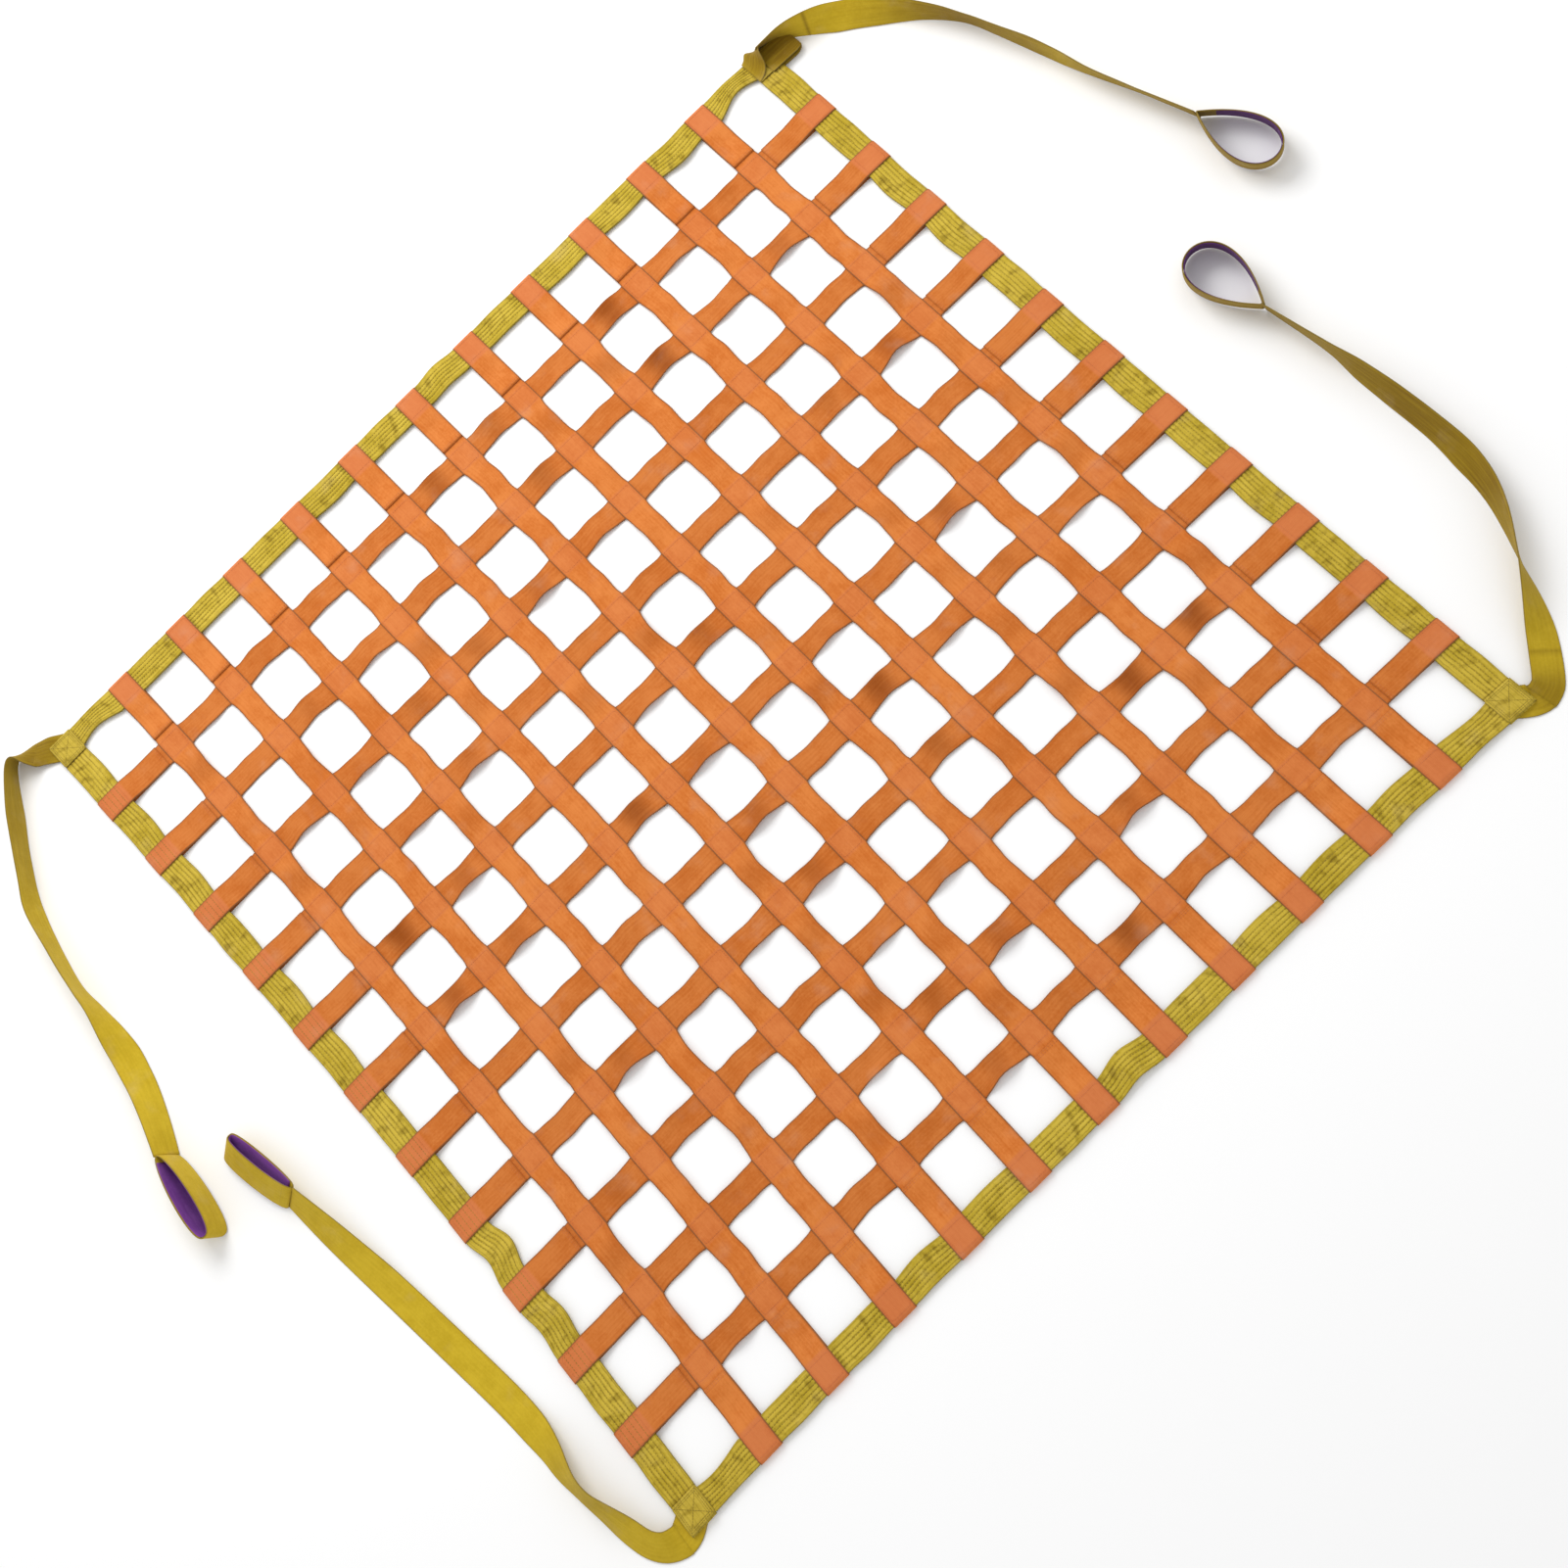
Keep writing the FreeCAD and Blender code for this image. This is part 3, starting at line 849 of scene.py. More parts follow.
class StitchMaker:
    """Sews stitches along guide lines with one Geometry Nodes tree."""

    def __init__(self) -> None:
        """Build the tree."""
        self.tree = bpy.data.node_groups.new("stitches along lines", "GeometryNodeTree")
        face = self.tree.interface
        face.new_socket("Lines", in_out="INPUT", socket_type="NodeSocketGeometry")
        self.sockets = {}
        for name, kind in (("Spacing", "Float"), ("Stitch Length", "Float"),
                           ("Thread Width", "Float"), ("Unevenness", "Float"),
                           ("Seed", "Int"), ("Thread", "Material")):
            socket = face.new_socket(name, in_out="INPUT", socket_type="NodeSocket" + kind)
            self.sockets[name] = socket.identifier
        face.new_socket("Stitches", in_out="OUTPUT", socket_type="NodeSocketGeometry")
        self._wire()

    def _wire(self) -> None:
        """Place one rounded stitch at even steps along each line, turned to follow it."""
        graph = ShaderGraph(self.tree)
        given = graph.node("NodeGroupInput").outputs
        uneven, width = given["Unevenness"], given["Thread Width"]
        curve = graph.fed("GeometryNodeMeshToCurve", {"Mesh": given["Lines"]})
        steps = graph.fed("GeometryNodeResampleCurve", {
            "Curve": curve.outputs[0], "Length": given["Spacing"]}, mode="LENGTH")
        bead = graph.fed("GeometryNodeMeshUVSphere", {"Segments": 5, "Rings": 4, "Radius": 0.5})
        size = graph.fed("ShaderNodeCombineXYZ", {0: given["Stitch Length"], 1: width, 2: width})
        shaped = graph.fed("GeometryNodeTransform", {
            "Geometry": bead.outputs["Mesh"], "Scale": size.outputs[0]})
        tangent = graph.node("GeometryNodeInputTangent")
        aligned = graph.fed("FunctionNodeAlignRotationToVector", {
            "Vector": tangent.outputs[0]}, axis="X")
        sway = graph.fed("FunctionNodeRandomValue", {
            2: graph.math("MULTIPLY", uneven, -0.6), 3: graph.math("MULTIPLY", uneven, 0.6),
            "Seed": given["Seed"]}, data_type="FLOAT")
        yaw = graph.fed("ShaderNodeCombineXYZ", {2: sway.outputs[1]})
        turned = graph.fed("FunctionNodeRotateRotation", {
            "Rotation": aligned.outputs[0], "Rotate By": yaw.outputs[0]}, rotation_space="LOCAL")
        grow = graph.fed("FunctionNodeRandomValue", {
            2: graph.math("SUBTRACT", 1.0, uneven), 3: graph.math("ADD", 1.0, uneven),
            "Seed": graph.math("ADD", given["Seed"], 7.0)}, data_type="FLOAT")
        copies = graph.fed("GeometryNodeInstanceOnPoints", {
            "Points": steps.outputs[0], "Instance": shaped.outputs[0],
            "Rotation": turned.outputs[0], "Scale": grow.outputs[1]})
        real = graph.fed("GeometryNodeRealizeInstances", {0: copies.outputs[0]})
        rounded = graph.fed("GeometryNodeSetShadeSmooth", {"Geometry": real.outputs[0]})
        dressed = graph.fed("GeometryNodeSetMaterial", {
            "Geometry": rounded.outputs[0], "Material": given["Thread"]})
        graph.fed("NodeGroupOutput", {0: dressed.outputs[0]})

    def sew(self, name: str, lines: list[np.ndarray], thread: bpy.types.Material,
            spacing: float = 4.2 * MM, length: float = 3.4 * MM, width: float = 0.95 * MM,
            uneven: float = 0.12, seed: int = 1) -> bpy.types.Object:
        """Sew stitches along lines.

        Args:
            name: The new object's name.
            lines: Lines of points; a line that ends where it starts is a closed one.
            thread: The thread's material.
            spacing: Distance from stitch to stitch.
            length: Length of one stitch.
            width: Width of the thread.
            uneven: How much stitches differ from each other, from 0 to 1.
            seed: Seed of their differences.

        Returns:
            The stitches as one plain mesh.
        """
        points: list[tuple[float, ...]] = []
        edges: list[tuple[int, int]] = []
        for line in lines:
            closed = len(line) > 2 and np.allclose(line[0], line[-1])
            kept = line[:-1] if closed else line
            first = len(points)
            points += [tuple(point) for point in kept]
            edges += [(first + i, first + i + 1) for i in range(len(kept) - 1)]
            if closed:
                edges.append((len(points) - 1, first))
        guide = mesh_object(name + " lines", points, [], edges)
        modifier = guide.modifiers.new("stitches", "NODES")
        modifier.node_group = self.tree
        values = {"Spacing": spacing, "Stitch Length": length, "Thread Width": width,
                  "Unevenness": uneven, "Seed": seed, "Thread": thread}
        for socket, value in values.items():
            modifier[self.sockets[socket]] = value
        sewn = settled(guide)
        sewn.name = name
        return linked(name, sewn)


def square(x: float, y: float, half: float, height: float) -> np.ndarray:
    """A closed square of points about a middle, flat at the given height."""
    turns = ((-1, -1), (1, -1), (1, 1), (-1, 1), (-1, -1))
    return np.array([(x + right * half, y + back * half, height) for right, back in turns])


def hand_over(piece: bpy.types.Object, body: str, slot: str, *nodes: str) -> bpy.types.Object:
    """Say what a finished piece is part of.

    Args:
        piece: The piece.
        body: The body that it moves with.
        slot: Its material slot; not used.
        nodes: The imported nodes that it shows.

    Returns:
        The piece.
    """
    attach(piece, body)
    if nodes:
        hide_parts(*nodes)
    log.info("%s rides on %s, %d faces", piece.name, body, len(piece.data.polygons))
    return piece


def sew_on_net(laid: LaidNet, maker: StitchMaker, lines: list[np.ndarray], name: str,
               slot: str, node: str, thread: bpy.types.Material, **stitch: float) -> None:
    """Sew lines of the flat net onto the net as it lies, and hand the stitches over.

    Args:
        laid: The way the net lies.
        maker: What sews them.
        lines: The lines, as they are on the flat net.
        name: The stitches' name.
        slot: Their material slot.
        node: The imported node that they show.
        thread: The thread's material.
        stitch: The stitches' sizes and seed.
    """
    placed = [laid.place(resampled(line, THREAD_STEP)) for line in lines]
    hand_over(maker.sew(name, placed, thread, **stitch), "net", slot, node)


# ---------------------------------------------------------------------------------------
# The mesh of the net
# ---------------------------------------------------------------------------------------


@dataclass
class MeshStrips:
    """The orange strips of the net, each wrapped round the border at both ends.

    A strip lies loosest half way between two crossings. There it sways aside, rolls over by up
    to so many degrees, cups and narrows, by amounts drawn anew for each opening. Past each
    crossing its stations stand at the given distances in millimetres.
    """

    sizes: NetSizes
    laid: LaidNet
    finishes: Finishes
    step: float = 25 * MM
    slope: float = 32 * MM
    end_spacing: float = 4 * MM
    sway: float = 2.6 * MM
    corner_round: float = 15 * MM
    over_roll: float = 9.0
    under_roll: float = 17.0
    thickness_share: float = 0.96
    past_crossing: tuple[int, ...] = (1, 4, 8, 12, 18, 26, 35, 45, 55, 64, 72, 78, 82, 86, 89)
    ripple: float = 0.8 * MM
    ripple_pitch: float = 11 * MM
    cup_range: tuple[float, float] = (-0.6 * MM, 2.2 * MM)
    roll_cup: float = 1.6 * MM
    waist_range: tuple[float, float] = (1.1 * MM, 2.4 * MM)
    roll_waist: float = 2.8 * MM
    flare: float = 0.5 * MM
    end_trim: float = 0.8 * MM
    sewn_crossing: float = 0.5
    # Darkening: an even one all along the lower strips, and painted shade in a dark line where each
    # tail ends on the strip below.
    lower_darkening: float = 0.22
    seam_reach: float = 3.5 * MM
    seam_darkening: float = 0.5

    def _end(self, level: float) -> np.ndarray:
        """One end of a strip as (along, up) points, from its tail's end to its first crossing.

        Args:
            level: Height of the strip's underside between the crossings.

        Returns:
            Points of the middle of the webbing, at the positive end.
        """
        s = self.sizes
        t = s.web_thickness
        tail_end = s.inner_half - s.opening + TAIL_GAP
        step_start = tail_end + TAIL_GAP
        step_end = step_start + self.step
        over = s.wrap_top - t / 2.0
        edge = s.outer_half + 0.45 * t
        rough = np.array([
            (tail_end, level + 1.5 * t), (step_start, level + 1.5 * t), (step_end, 1.5 * t),
            (s.inner_half - self.slope, 1.5 * t), (s.inner_half - 2 * MM, over),
            (s.outer_half - t, over), (s.outer_half, over - 0.2 * t), (edge, over - 0.7 * t),
            (edge, 1.2 * t), (s.outer_half, 0.7 * t), (s.outer_half - t, t / 2.0),
            (step_end, t / 2.0), (step_start, level + t / 2.0),
            (tail_end - TAIL_GAP / 2.0, level + t / 2.0)])
        return smooth(resampled(rough, self.end_spacing), 1)

    def _middle(self) -> np.ndarray:
        """Places along the strip between its first and last crossings, closer at sewn edges.

        Returns:
            The places, where the strip has its stations.
        """
        s = self.sizes
        half = s.web_width / 2.0
        past = np.array(self.past_crossing) * MM
        steps = np.concatenate([[-half + MM, -9 * MM, 9 * MM, half - MM], half + past])
        places = np.concatenate([place + steps for place in s.strip_places])
        return places[(places > -s.inner_half + s.opening) & (places < s.inner_half - s.opening)]

    def _strip(self, run: Run, number: int, aside: float, level: float, roll: float
               ) -> bpy.types.Object:
        """Build one strip.

        Args:
            run: The way the strip runs.
            number: Its number, counted from 1.
            aside: Its place across its run.
            level: Height of its underside between the crossings.
            roll: Largest lean between crossings, in degrees.

        Returns:
            The strip's object.
        """
        s = self.sizes
        random = np.random.default_rng(number + (100 if run is Run.ALONG_Y else 0))
        end = self._end(level)
        middle = self._middle()
        flat = np.stack([middle, np.full(len(middle), level + s.web_thickness / 2.0)], -1)
        line = np.concatenate([end * (-1, 1), flat, end[::-1]])
        along = line[:, 0]
        cell, slack = s.slack(along)
        inner = (np.arange(len(line)) >= len(end)) & (np.arange(len(line)) < len(line) - len(end))
        slack = slack * np.where(inner, 1.0, 0.0)
        cells = np.clip(cell, 0, s.openings - 1)
        amount = random.uniform(-1.0, 1.0, s.openings)
        turned = np.sign(amount) * np.abs(amount) ** 1.6 * roll
        rolled = np.abs(turned) / self.under_roll
        lean = np.radians(turned)[cells] * slack
        drift = random.uniform(-self.sway, self.sway, s.openings)[cells] * slack
        phase = 9.0 * random.random()
        drift += self.ripple * np.sin(along / self.ripple_pitch + phase) * slack
        cup = random.uniform(*self.cup_range, s.openings)[cells] * slack
        cup += self.roll_cup * rolled[cells] * slack
        start = -s.inner_half + cell * s.pitch
        clear = np.clip(np.minimum(along - start, start + s.opening - along), 0.0, None)
        waist = np.clip(clear / self.corner_round, 0.0, 1.0)
        pull = random.uniform(*self.waist_range, s.openings)[cells] * waist * (2.0 - waist)
        pull += self.roll_waist * rolled[cells] * slack
        half = s.web_width / 2.0 + self.flare - np.where(inner, pull, self.end_trim)
        height = line[:, 1] + half * np.abs(np.sin(lean)) + np.maximum(-cup, 0.0)
        crossing = inner & (clear <= 0.0)
        over_border = ~inner & (np.abs(along) > s.inner_half) & (line[:, 1] > s.border_top)
        centre = run.points(along, aside + drift, height)
        zero = np.zeros(len(line))
        across = run.points(zero, np.cos(lean), np.sin(lean))
        name = "%s_strip_%02d" % ("upper" if run is Run.ALONG_X else "lower", number)
        sewn = np.where(over_border, 1.0, np.where(crossing, self.sewn_crossing, 0.0))
        # Painted shade on spans that roll over, stronger the more they roll.
        darkening = 1.2 * np.clip(rolled - 0.2, 0.0, 0.8)[cells] * slack
        # Painted shadow in a dark line where each tail's end steps down onto the strip below.
        seam = np.minimum(distances(line), distances(line[::-1])[::-1]) < self.seam_reach
        darkening = np.where(inner, darkening, np.where(seam, self.seam_darkening, 0.0))
        # The lower strips are painted a little darker all along, except where sewn.
        if run is Run.ALONG_Y:
            darkening = np.maximum(darkening, self.lower_darkening * (1.0 - sewn))
        return Ribbon(name, centre, across, half, self.thickness_share * s.web_thickness, cup,
                      sewn, darkening).build(self.finishes.mesh_webbing, self.laid.place)

    def build(self) -> None:
        """Build the strips both ways: those along X pass over those along Y."""
        thickness = self.sizes.web_thickness
        for number, place in enumerate(self.sizes.strip_places, 1):
            over = self._strip(Run.ALONG_X, number, place, thickness, self.over_roll)
            hand_over(over, "net", "mesh_webbing", "strip_x_%02d" % number)
            under = self._strip(Run.ALONG_Y, number, -place, 0.0, self.under_roll)
            hand_over(under, "net", "mesh_webbing", "strip_y_%02d" % number)


@dataclass
class MeshStitching:
    """The orange stitching: boxes on the crossings and wraps, and seams across the tails."""

    sizes: NetSizes
    laid: LaidNet
    finishes: Finishes
    maker: StitchMaker
    margin: float = 4 * MM
    wrap_margin: float = 6 * MM
    seam_offsets: tuple[float, float] = (3 * MM, 6 * MM)

    def _crossings(self) -> list[np.ndarray]:
        """A box on every crossing.

        Returns:
            Their lines on the flat net.
        """
        s = self.sizes
        half = s.web_width / 2.0 - self.margin
        top = 2.0 * s.web_thickness
        return [square(x, y, half, top) for x in s.strip_places for y in s.strip_places]

    def _seams(self) -> list[np.ndarray]:
        """A double seam across each tail, and a box on each wrap.

        Returns:
            Their lines on the flat net.
        """
        s = self.sizes
        reach = s.web_width / 2.0 - self.margin
        tail = s.inner_half - s.opening + TAIL_GAP
        lines = []
        for run, level in ((Run.ALONG_X, 3.0), (Run.ALONG_Y, 2.0)):
            height = np.full(2, level * s.web_thickness)
            for side in (-1, 1):
                for place in s.strip_places:
                    aside = np.array([place - reach, place + reach])
                    for offset in self.seam_offsets:
                        along = np.full(2, side * (tail + offset))
                        lines.append(run.points(along, aside, height))
                    near = s.inner_half + self.wrap_margin
                    far = s.outer_half - self.wrap_margin
                    box_along = side * np.array([near, far, far, near, near])
                    box_aside = np.array([aside[0], aside[0], aside[1], aside[1], aside[0]])
                    lines.append(run.points(box_along, box_aside, np.full(5, s.wrap_top)))
        return lines

    def build(self) -> None:
        """Sew both groups of stitches."""
        groups = (("crossing_boxes", self._crossings(), "crossing_stitches"),
                  ("tail_and_wrap_seams", self._seams(), "tail_seams"))
        for seed, (name, lines, node) in enumerate(groups, 3):
            sew_on_net(self.laid, self.maker, lines, name, "mesh_thread", node,
                       self.finishes.mesh_thread, seed=seed)


# ---------------------------------------------------------------------------------------
# The border
# ---------------------------------------------------------------------------------------


@dataclass(frozen=True)
class Crumple:
    """A place where the border has bunched up between two wraps."""

    side: Side
    opening: int
    shove: float
    rise: float


@dataclass
class Border:
    """The doubled yellow webbing round the net, puckered by its rows of stitches."""

    sizes: NetSizes
    laid: LaidNet
    finishes: Finishes
    maker: StitchMaker
    rows: int = 5
    row_spacing: float = 7 * MM
    wrap_rows: int = 4
    wrap_row_spacing: float = 9 * MM
    groove: float = 0.55 * MM
    pucker: float = 0.5 * MM
    pucker_pitch: float = 10 * MM
    wander: float = 1.6 * MM
    rise: float = 1.2 * MM
    waist_range: tuple[float, float] = (0.6 * MM, 3.4 * MM)
    pinch_middle: float = 82 * MM
    pinch_reach: float = 72 * MM
    row_gap: float = 1.5 * MM
    edge_gap: float = 0.4 * MM
    spacing: float = 4 * MM
    ply_share: float = 0.9
    patch_share: float = 0.96
    patch_stations: int = 13
    patch_sewn: float = 0.3
    shift_seed: int = 40
    relief_seed: int = 60
    trim_seed: int = 70
    pinches: dict[Corner, float] = field(default_factory=lambda: {
        Corner.BACK_LEFT: 19 * MM, Corner.FRONT_LEFT: 15 * MM,
        Corner.BACK_RIGHT: 7 * MM, Corner.FRONT_RIGHT: 9 * MM})
    crumples: tuple[Crumple, ...] = (
        Crumple(Side.FRONT, 8, 9 * MM, 3 * MM), Crumple(Side.FRONT, 9, 5 * MM, 3 * MM),
        Crumple(Side.LEFT, 10, -4 * MM, 2 * MM), Crumple(Side.BACK, 3, -3 * MM, 2 * MM),
        Crumple(Side.RIGHT, 6, 4 * MM, 2 * MM), Crumple(Side.LEFT, 6, 3 * MM, 1 * MM))

    def _row_offsets(self) -> np.ndarray:
        """Places of the rows of stitches across the border."""
        return (np.arange(self.rows) - (self.rows - 1) / 2.0) * self.row_spacing

    def _shift(self, side: Side, along: np.ndarray) -> tuple[np.ndarray, np.ndarray]:
        """How far the border wanders sideways and rises at places along it.

        Args:
            side: The side of the border.
            along: The places.

        Returns:
            Its shift sideways and its rise at each.
        """
        openings = self.sizes.openings
        random = np.random.default_rng(self.shift_seed + list(Side).index(side))
        cell, slack = self.sizes.slack(along)
        cells = np.clip(cell, 0, openings - 1)
        drift = random.uniform(-self.wander, self.wander, openings)
        rise = random.uniform(0.0, self.rise, openings)
        for crumple in self.crumples:
            if crumple.side is side:
                drift[crumple.opening] += crumple.shove
                rise[crumple.opening] += crumple.rise
        return drift[cells] * slack, rise[cells] * slack

    def _trim(self, side: Side, along: np.ndarray) -> np.ndarray:
        """How much narrower the border is at places along it, drawn in from its inner edge.

        Args:
            side: The side of the border.
            along: The places.

        Returns:
            The width that is missing at each.
        """
        s = self.sizes
        random = np.random.default_rng(self.trim_seed + list(Side).index(side))
        cell, slack = s.slack(along)
        cells = np.clip(cell, 0, s.openings - 1)
        waist = random.uniform(*self.waist_range, s.openings)[cells] * (1.0 - slack ** 0.5)
        run, place = side.value
        for corner, pinch in self.pinches.items():
            side_x, side_y = corner.value
            if run is Run.ALONG_Y and place == -side_x:
                gap = s.outer_half - side_y * along
                near = np.clip(1.0 - np.abs(gap - self.pinch_middle) / self.pinch_reach, 0.0, 1.0)
                waist = np.maximum(waist, pinch * np.sin(near * math.pi / 2.0) ** 2)
        return waist

    def _relief(self, seed: int) -> Callable[[np.ndarray, np.ndarray], np.ndarray]:
        """Grooves under the rows of stitches and puckers between them.

        Args:
            seed: Seed of the puckers' places.

        Returns:
            A function for the height on the upper face.
        """
        random = np.random.default_rng(seed)
        phases = random.uniform(0.0, 2.0 * math.pi, self.rows + 1)
        beats = random.uniform(0.85, 1.2, self.rows + 1)
        offsets = self._row_offsets()

        def height(along: np.ndarray, aside: np.ndarray) -> np.ndarray:
            """Height of the surface.

            Args:
                along: Places along the border.
                aside: Places across it.

            Returns:
                The height at each place.
            """
            lane = np.clip(np.floor((aside - offsets[0]) / self.row_spacing) + 1, 0, self.rows)
            lane = lane.astype(int)
            near = np.min(np.abs(aside[..., None] - offsets), axis=-1)
            dip = np.exp(-(near / (1.3 * MM)) ** 2)
            inside = np.abs(aside) < offsets[-1] + 0.4 * self.row_spacing
            beat = 2.0 * math.pi * along / self.pucker_pitch * beats[lane] + phases[lane]
            wave = 0.5 + 0.35 * np.sin(beat) + 0.15 * np.sin(2.7 * beat)
            puff = self.pucker * wave * (1.0 - dip) * inside
            return puff - self.groove * dip

        return height

    def _ply(self, side: Side, upper: bool) -> bpy.types.Object:
        """Build one ply of one side.

        Args:
            side: The side of the border.
            upper: Whether it is the upper ply, which has the grooves and puckers.

        Returns:
            The ply's object.
        """
        s = self.sizes
        run, place = side.value
        thickness = (s.border_top - s.border_low) / 2.0
        lapped = upper is (run is Run.ALONG_Y)
        half_length = (s.outer_half if lapped else s.inner_half) - TRIM
        along = np.arange(-half_length, half_length + self.spacing / 2.0, self.spacing)
        drift, rise = self._shift(side, along)
        level = s.border_low + thickness * (1.5 if upper else 0.5)
        trim = self._trim(side, along)
        aside = place * (s.border_middle + trim / 2.0) + drift
        centre = run.points(along, aside, level + rise)
        across = run.points(np.zeros(len(along)), np.ones(len(along)), np.zeros(len(along)))
        half = (s.border_width - trim) / 2.0 - self.edge_gap
        name = "border_%s_%s_ply" % (side.name.lower(), "upper" if upper else "lower")
        ribbon = Ribbon(name, centre, across, half, self.ply_share * thickness)
        if upper:
            ribbon.lanes = np.concatenate([
                [-1.0, -0.97, -0.88], np.linspace(-0.75, 0.75, 25), [0.88, 0.97, 1.0]])
            ribbon.relief = self._relief(self.relief_seed + list(Side).index(side))
        return ribbon.build(self.finishes.border_webbing, self.laid.place)

    def _row_lines(self) -> list[np.ndarray]:
        """Rows of stitches between the wraps, and over the wraps of the front side.

        Returns:
            Their lines on the flat net.
        """
        s = self.sizes
        edges = [-s.inner_half]
        for place in s.strip_places:
            edges += [place - s.web_width / 2.0, place + s.web_width / 2.0]
        edges.append(s.inner_half)
        lines = []
        for side in Side:
            run, place = side.value
            for offset in self._row_offsets():
                for start, end in zip(edges[::2], edges[1::2]):
                    along = np.linspace(start + self.row_gap, end - self.row_gap, 18)
                    drift, rise = self._shift(side, along)
                    trim = self._trim(side, along)
                    squeeze = 1.0 - trim / s.border_width
                    aside = place * (s.border_middle + trim / 2.0) + offset * squeeze + drift
                    lines.append(run.points(along, aside, s.border_top - 0.2 * MM + rise))
        over = (np.arange(self.wrap_rows) - (self.wrap_rows - 1) / 2.0) * self.wrap_row_spacing
        run, place = Side.FRONT.value
        for middle in s.strip_places:
            for offset in over:
                along = np.linspace(-1.0, 1.0, 8) * (s.web_width / 2.0 - self.row_gap) + middle
                aside = np.full(8, place * s.border_middle + offset)
                lines.append(run.points(along, aside, np.full(8, s.wrap_top)))
        return lines

    def _patch(self, corner: Corner) -> bpy.types.Object:
        """Build the sewn square over one corner.

        Args:
            corner: The corner.

        Returns:
            The square's object.
        """
        s = self.sizes
        side_x, side_y = corner.value
        count = self.patch_stations
        half = s.border_width / 2.0 - 0.5 * MM
        steps = np.linspace(-half, half, count)
        level = (s.border_top + s.wrap_top) / 2.0
        centre = Run.ALONG_X.points(side_x * s.border_middle + steps,
                                    np.full(count, side_y * s.border_middle),
                                    np.full(count, level))
        across = np.tile([0.0, 1.0, 0.0], (count, 1))
        widths = half * np.interp(np.abs(steps), [0, half - 3 * MM, half], [1.0, 1.0, 0.93])
        return Ribbon("corner_square_" + corner.label, centre, across, widths,
                      self.patch_share * s.web_thickness,
                      sewn=np.full(count, self.patch_sewn)).build(
            self.finishes.border_webbing, self.laid.place)

    def _patch_lines(self, corner: Corner) -> list[np.ndarray]:
        """The boxes and the cross of stitches on one corner.

        Args:
            corner: The corner.

        Returns:
            Their lines on the flat net.
        """
        s = self.sizes
        side_x, side_y = corner.value
        x, y = side_x * s.border_middle, side_y * s.border_middle
        half = s.border_width / 2.0 - 4 * MM
        lines = [square(x, y, half, s.wrap_top), square(x, y, half - 3 * MM, s.wrap_top)]
        for tilt in (-1, 1):
            lines.append(np.array([(x - half, y - tilt * half, s.wrap_top),
                                   (x + half, y + tilt * half, s.wrap_top)]))
        return lines

    def build(self) -> None:
        """Build the plies, the corner squares and their stitches."""
        for side in Side:
            for upper in (False, True):
                node = "border_%s_%s" % (side.name.lower(), "upper" if upper else "lower")
                hand_over(self._ply(side, upper), "net", "border_webbing", node)
        crosses: list[np.ndarray] = []
        for corner in Corner:
            hand_over(self._patch(corner), "net", "border_webbing",
                      "corner_patch_" + corner.label)
            crosses += self._patch_lines(corner)
        groups = (("border_rows", self._row_lines(), "border_stitches", 4.6 * MM),
                  ("corner_boxes", crosses, "corner_stitches", 3.8 * MM))
        for seed, (name, lines, node, spacing) in enumerate(groups, 11):
            sew_on_net(self.laid, self.maker, lines, name, "border_thread", node,
                       self.finishes.border_thread, spacing=spacing, length=3.8 * MM,
                       width=1.0 * MM, seed=seed)


# ---------------------------------------------------------------------------------------
# The lifting straps
# ---------------------------------------------------------------------------------------


@dataclass(frozen=True)
class StrapLay:
    """How one strap lies: its sewn start, its route, its lean along it, and its eye.

    Places are in millimetres outwards from the net's corner along X and along Y. A point of
    the start has the height of its middle, the way the webbing faces across in degrees, and
    how much painted shade darkens it. A point of the route has its lean in degrees, where 0 is
    flat, 90 on edge and more is leaning outwards, and how much painted shade darkens it where
    its face turns from the light or folds over. An eye's webbing flares by so much of its
    height ahead and aside.
    """

    corner: Corner
    length: float
    start: tuple[tuple[float, float, float, float, float], ...]
    route: tuple[tuple[float, float, float, float], ...]
    seam: float
    eye_tip: tuple[float, float]
    eye_width: float
    eye_lean: float
    eye_full: float
    eye_flare: tuple[float, float] = (0.0, 0.0)
    fold: tuple[tuple[float, float, float, float, float], ...] = ()
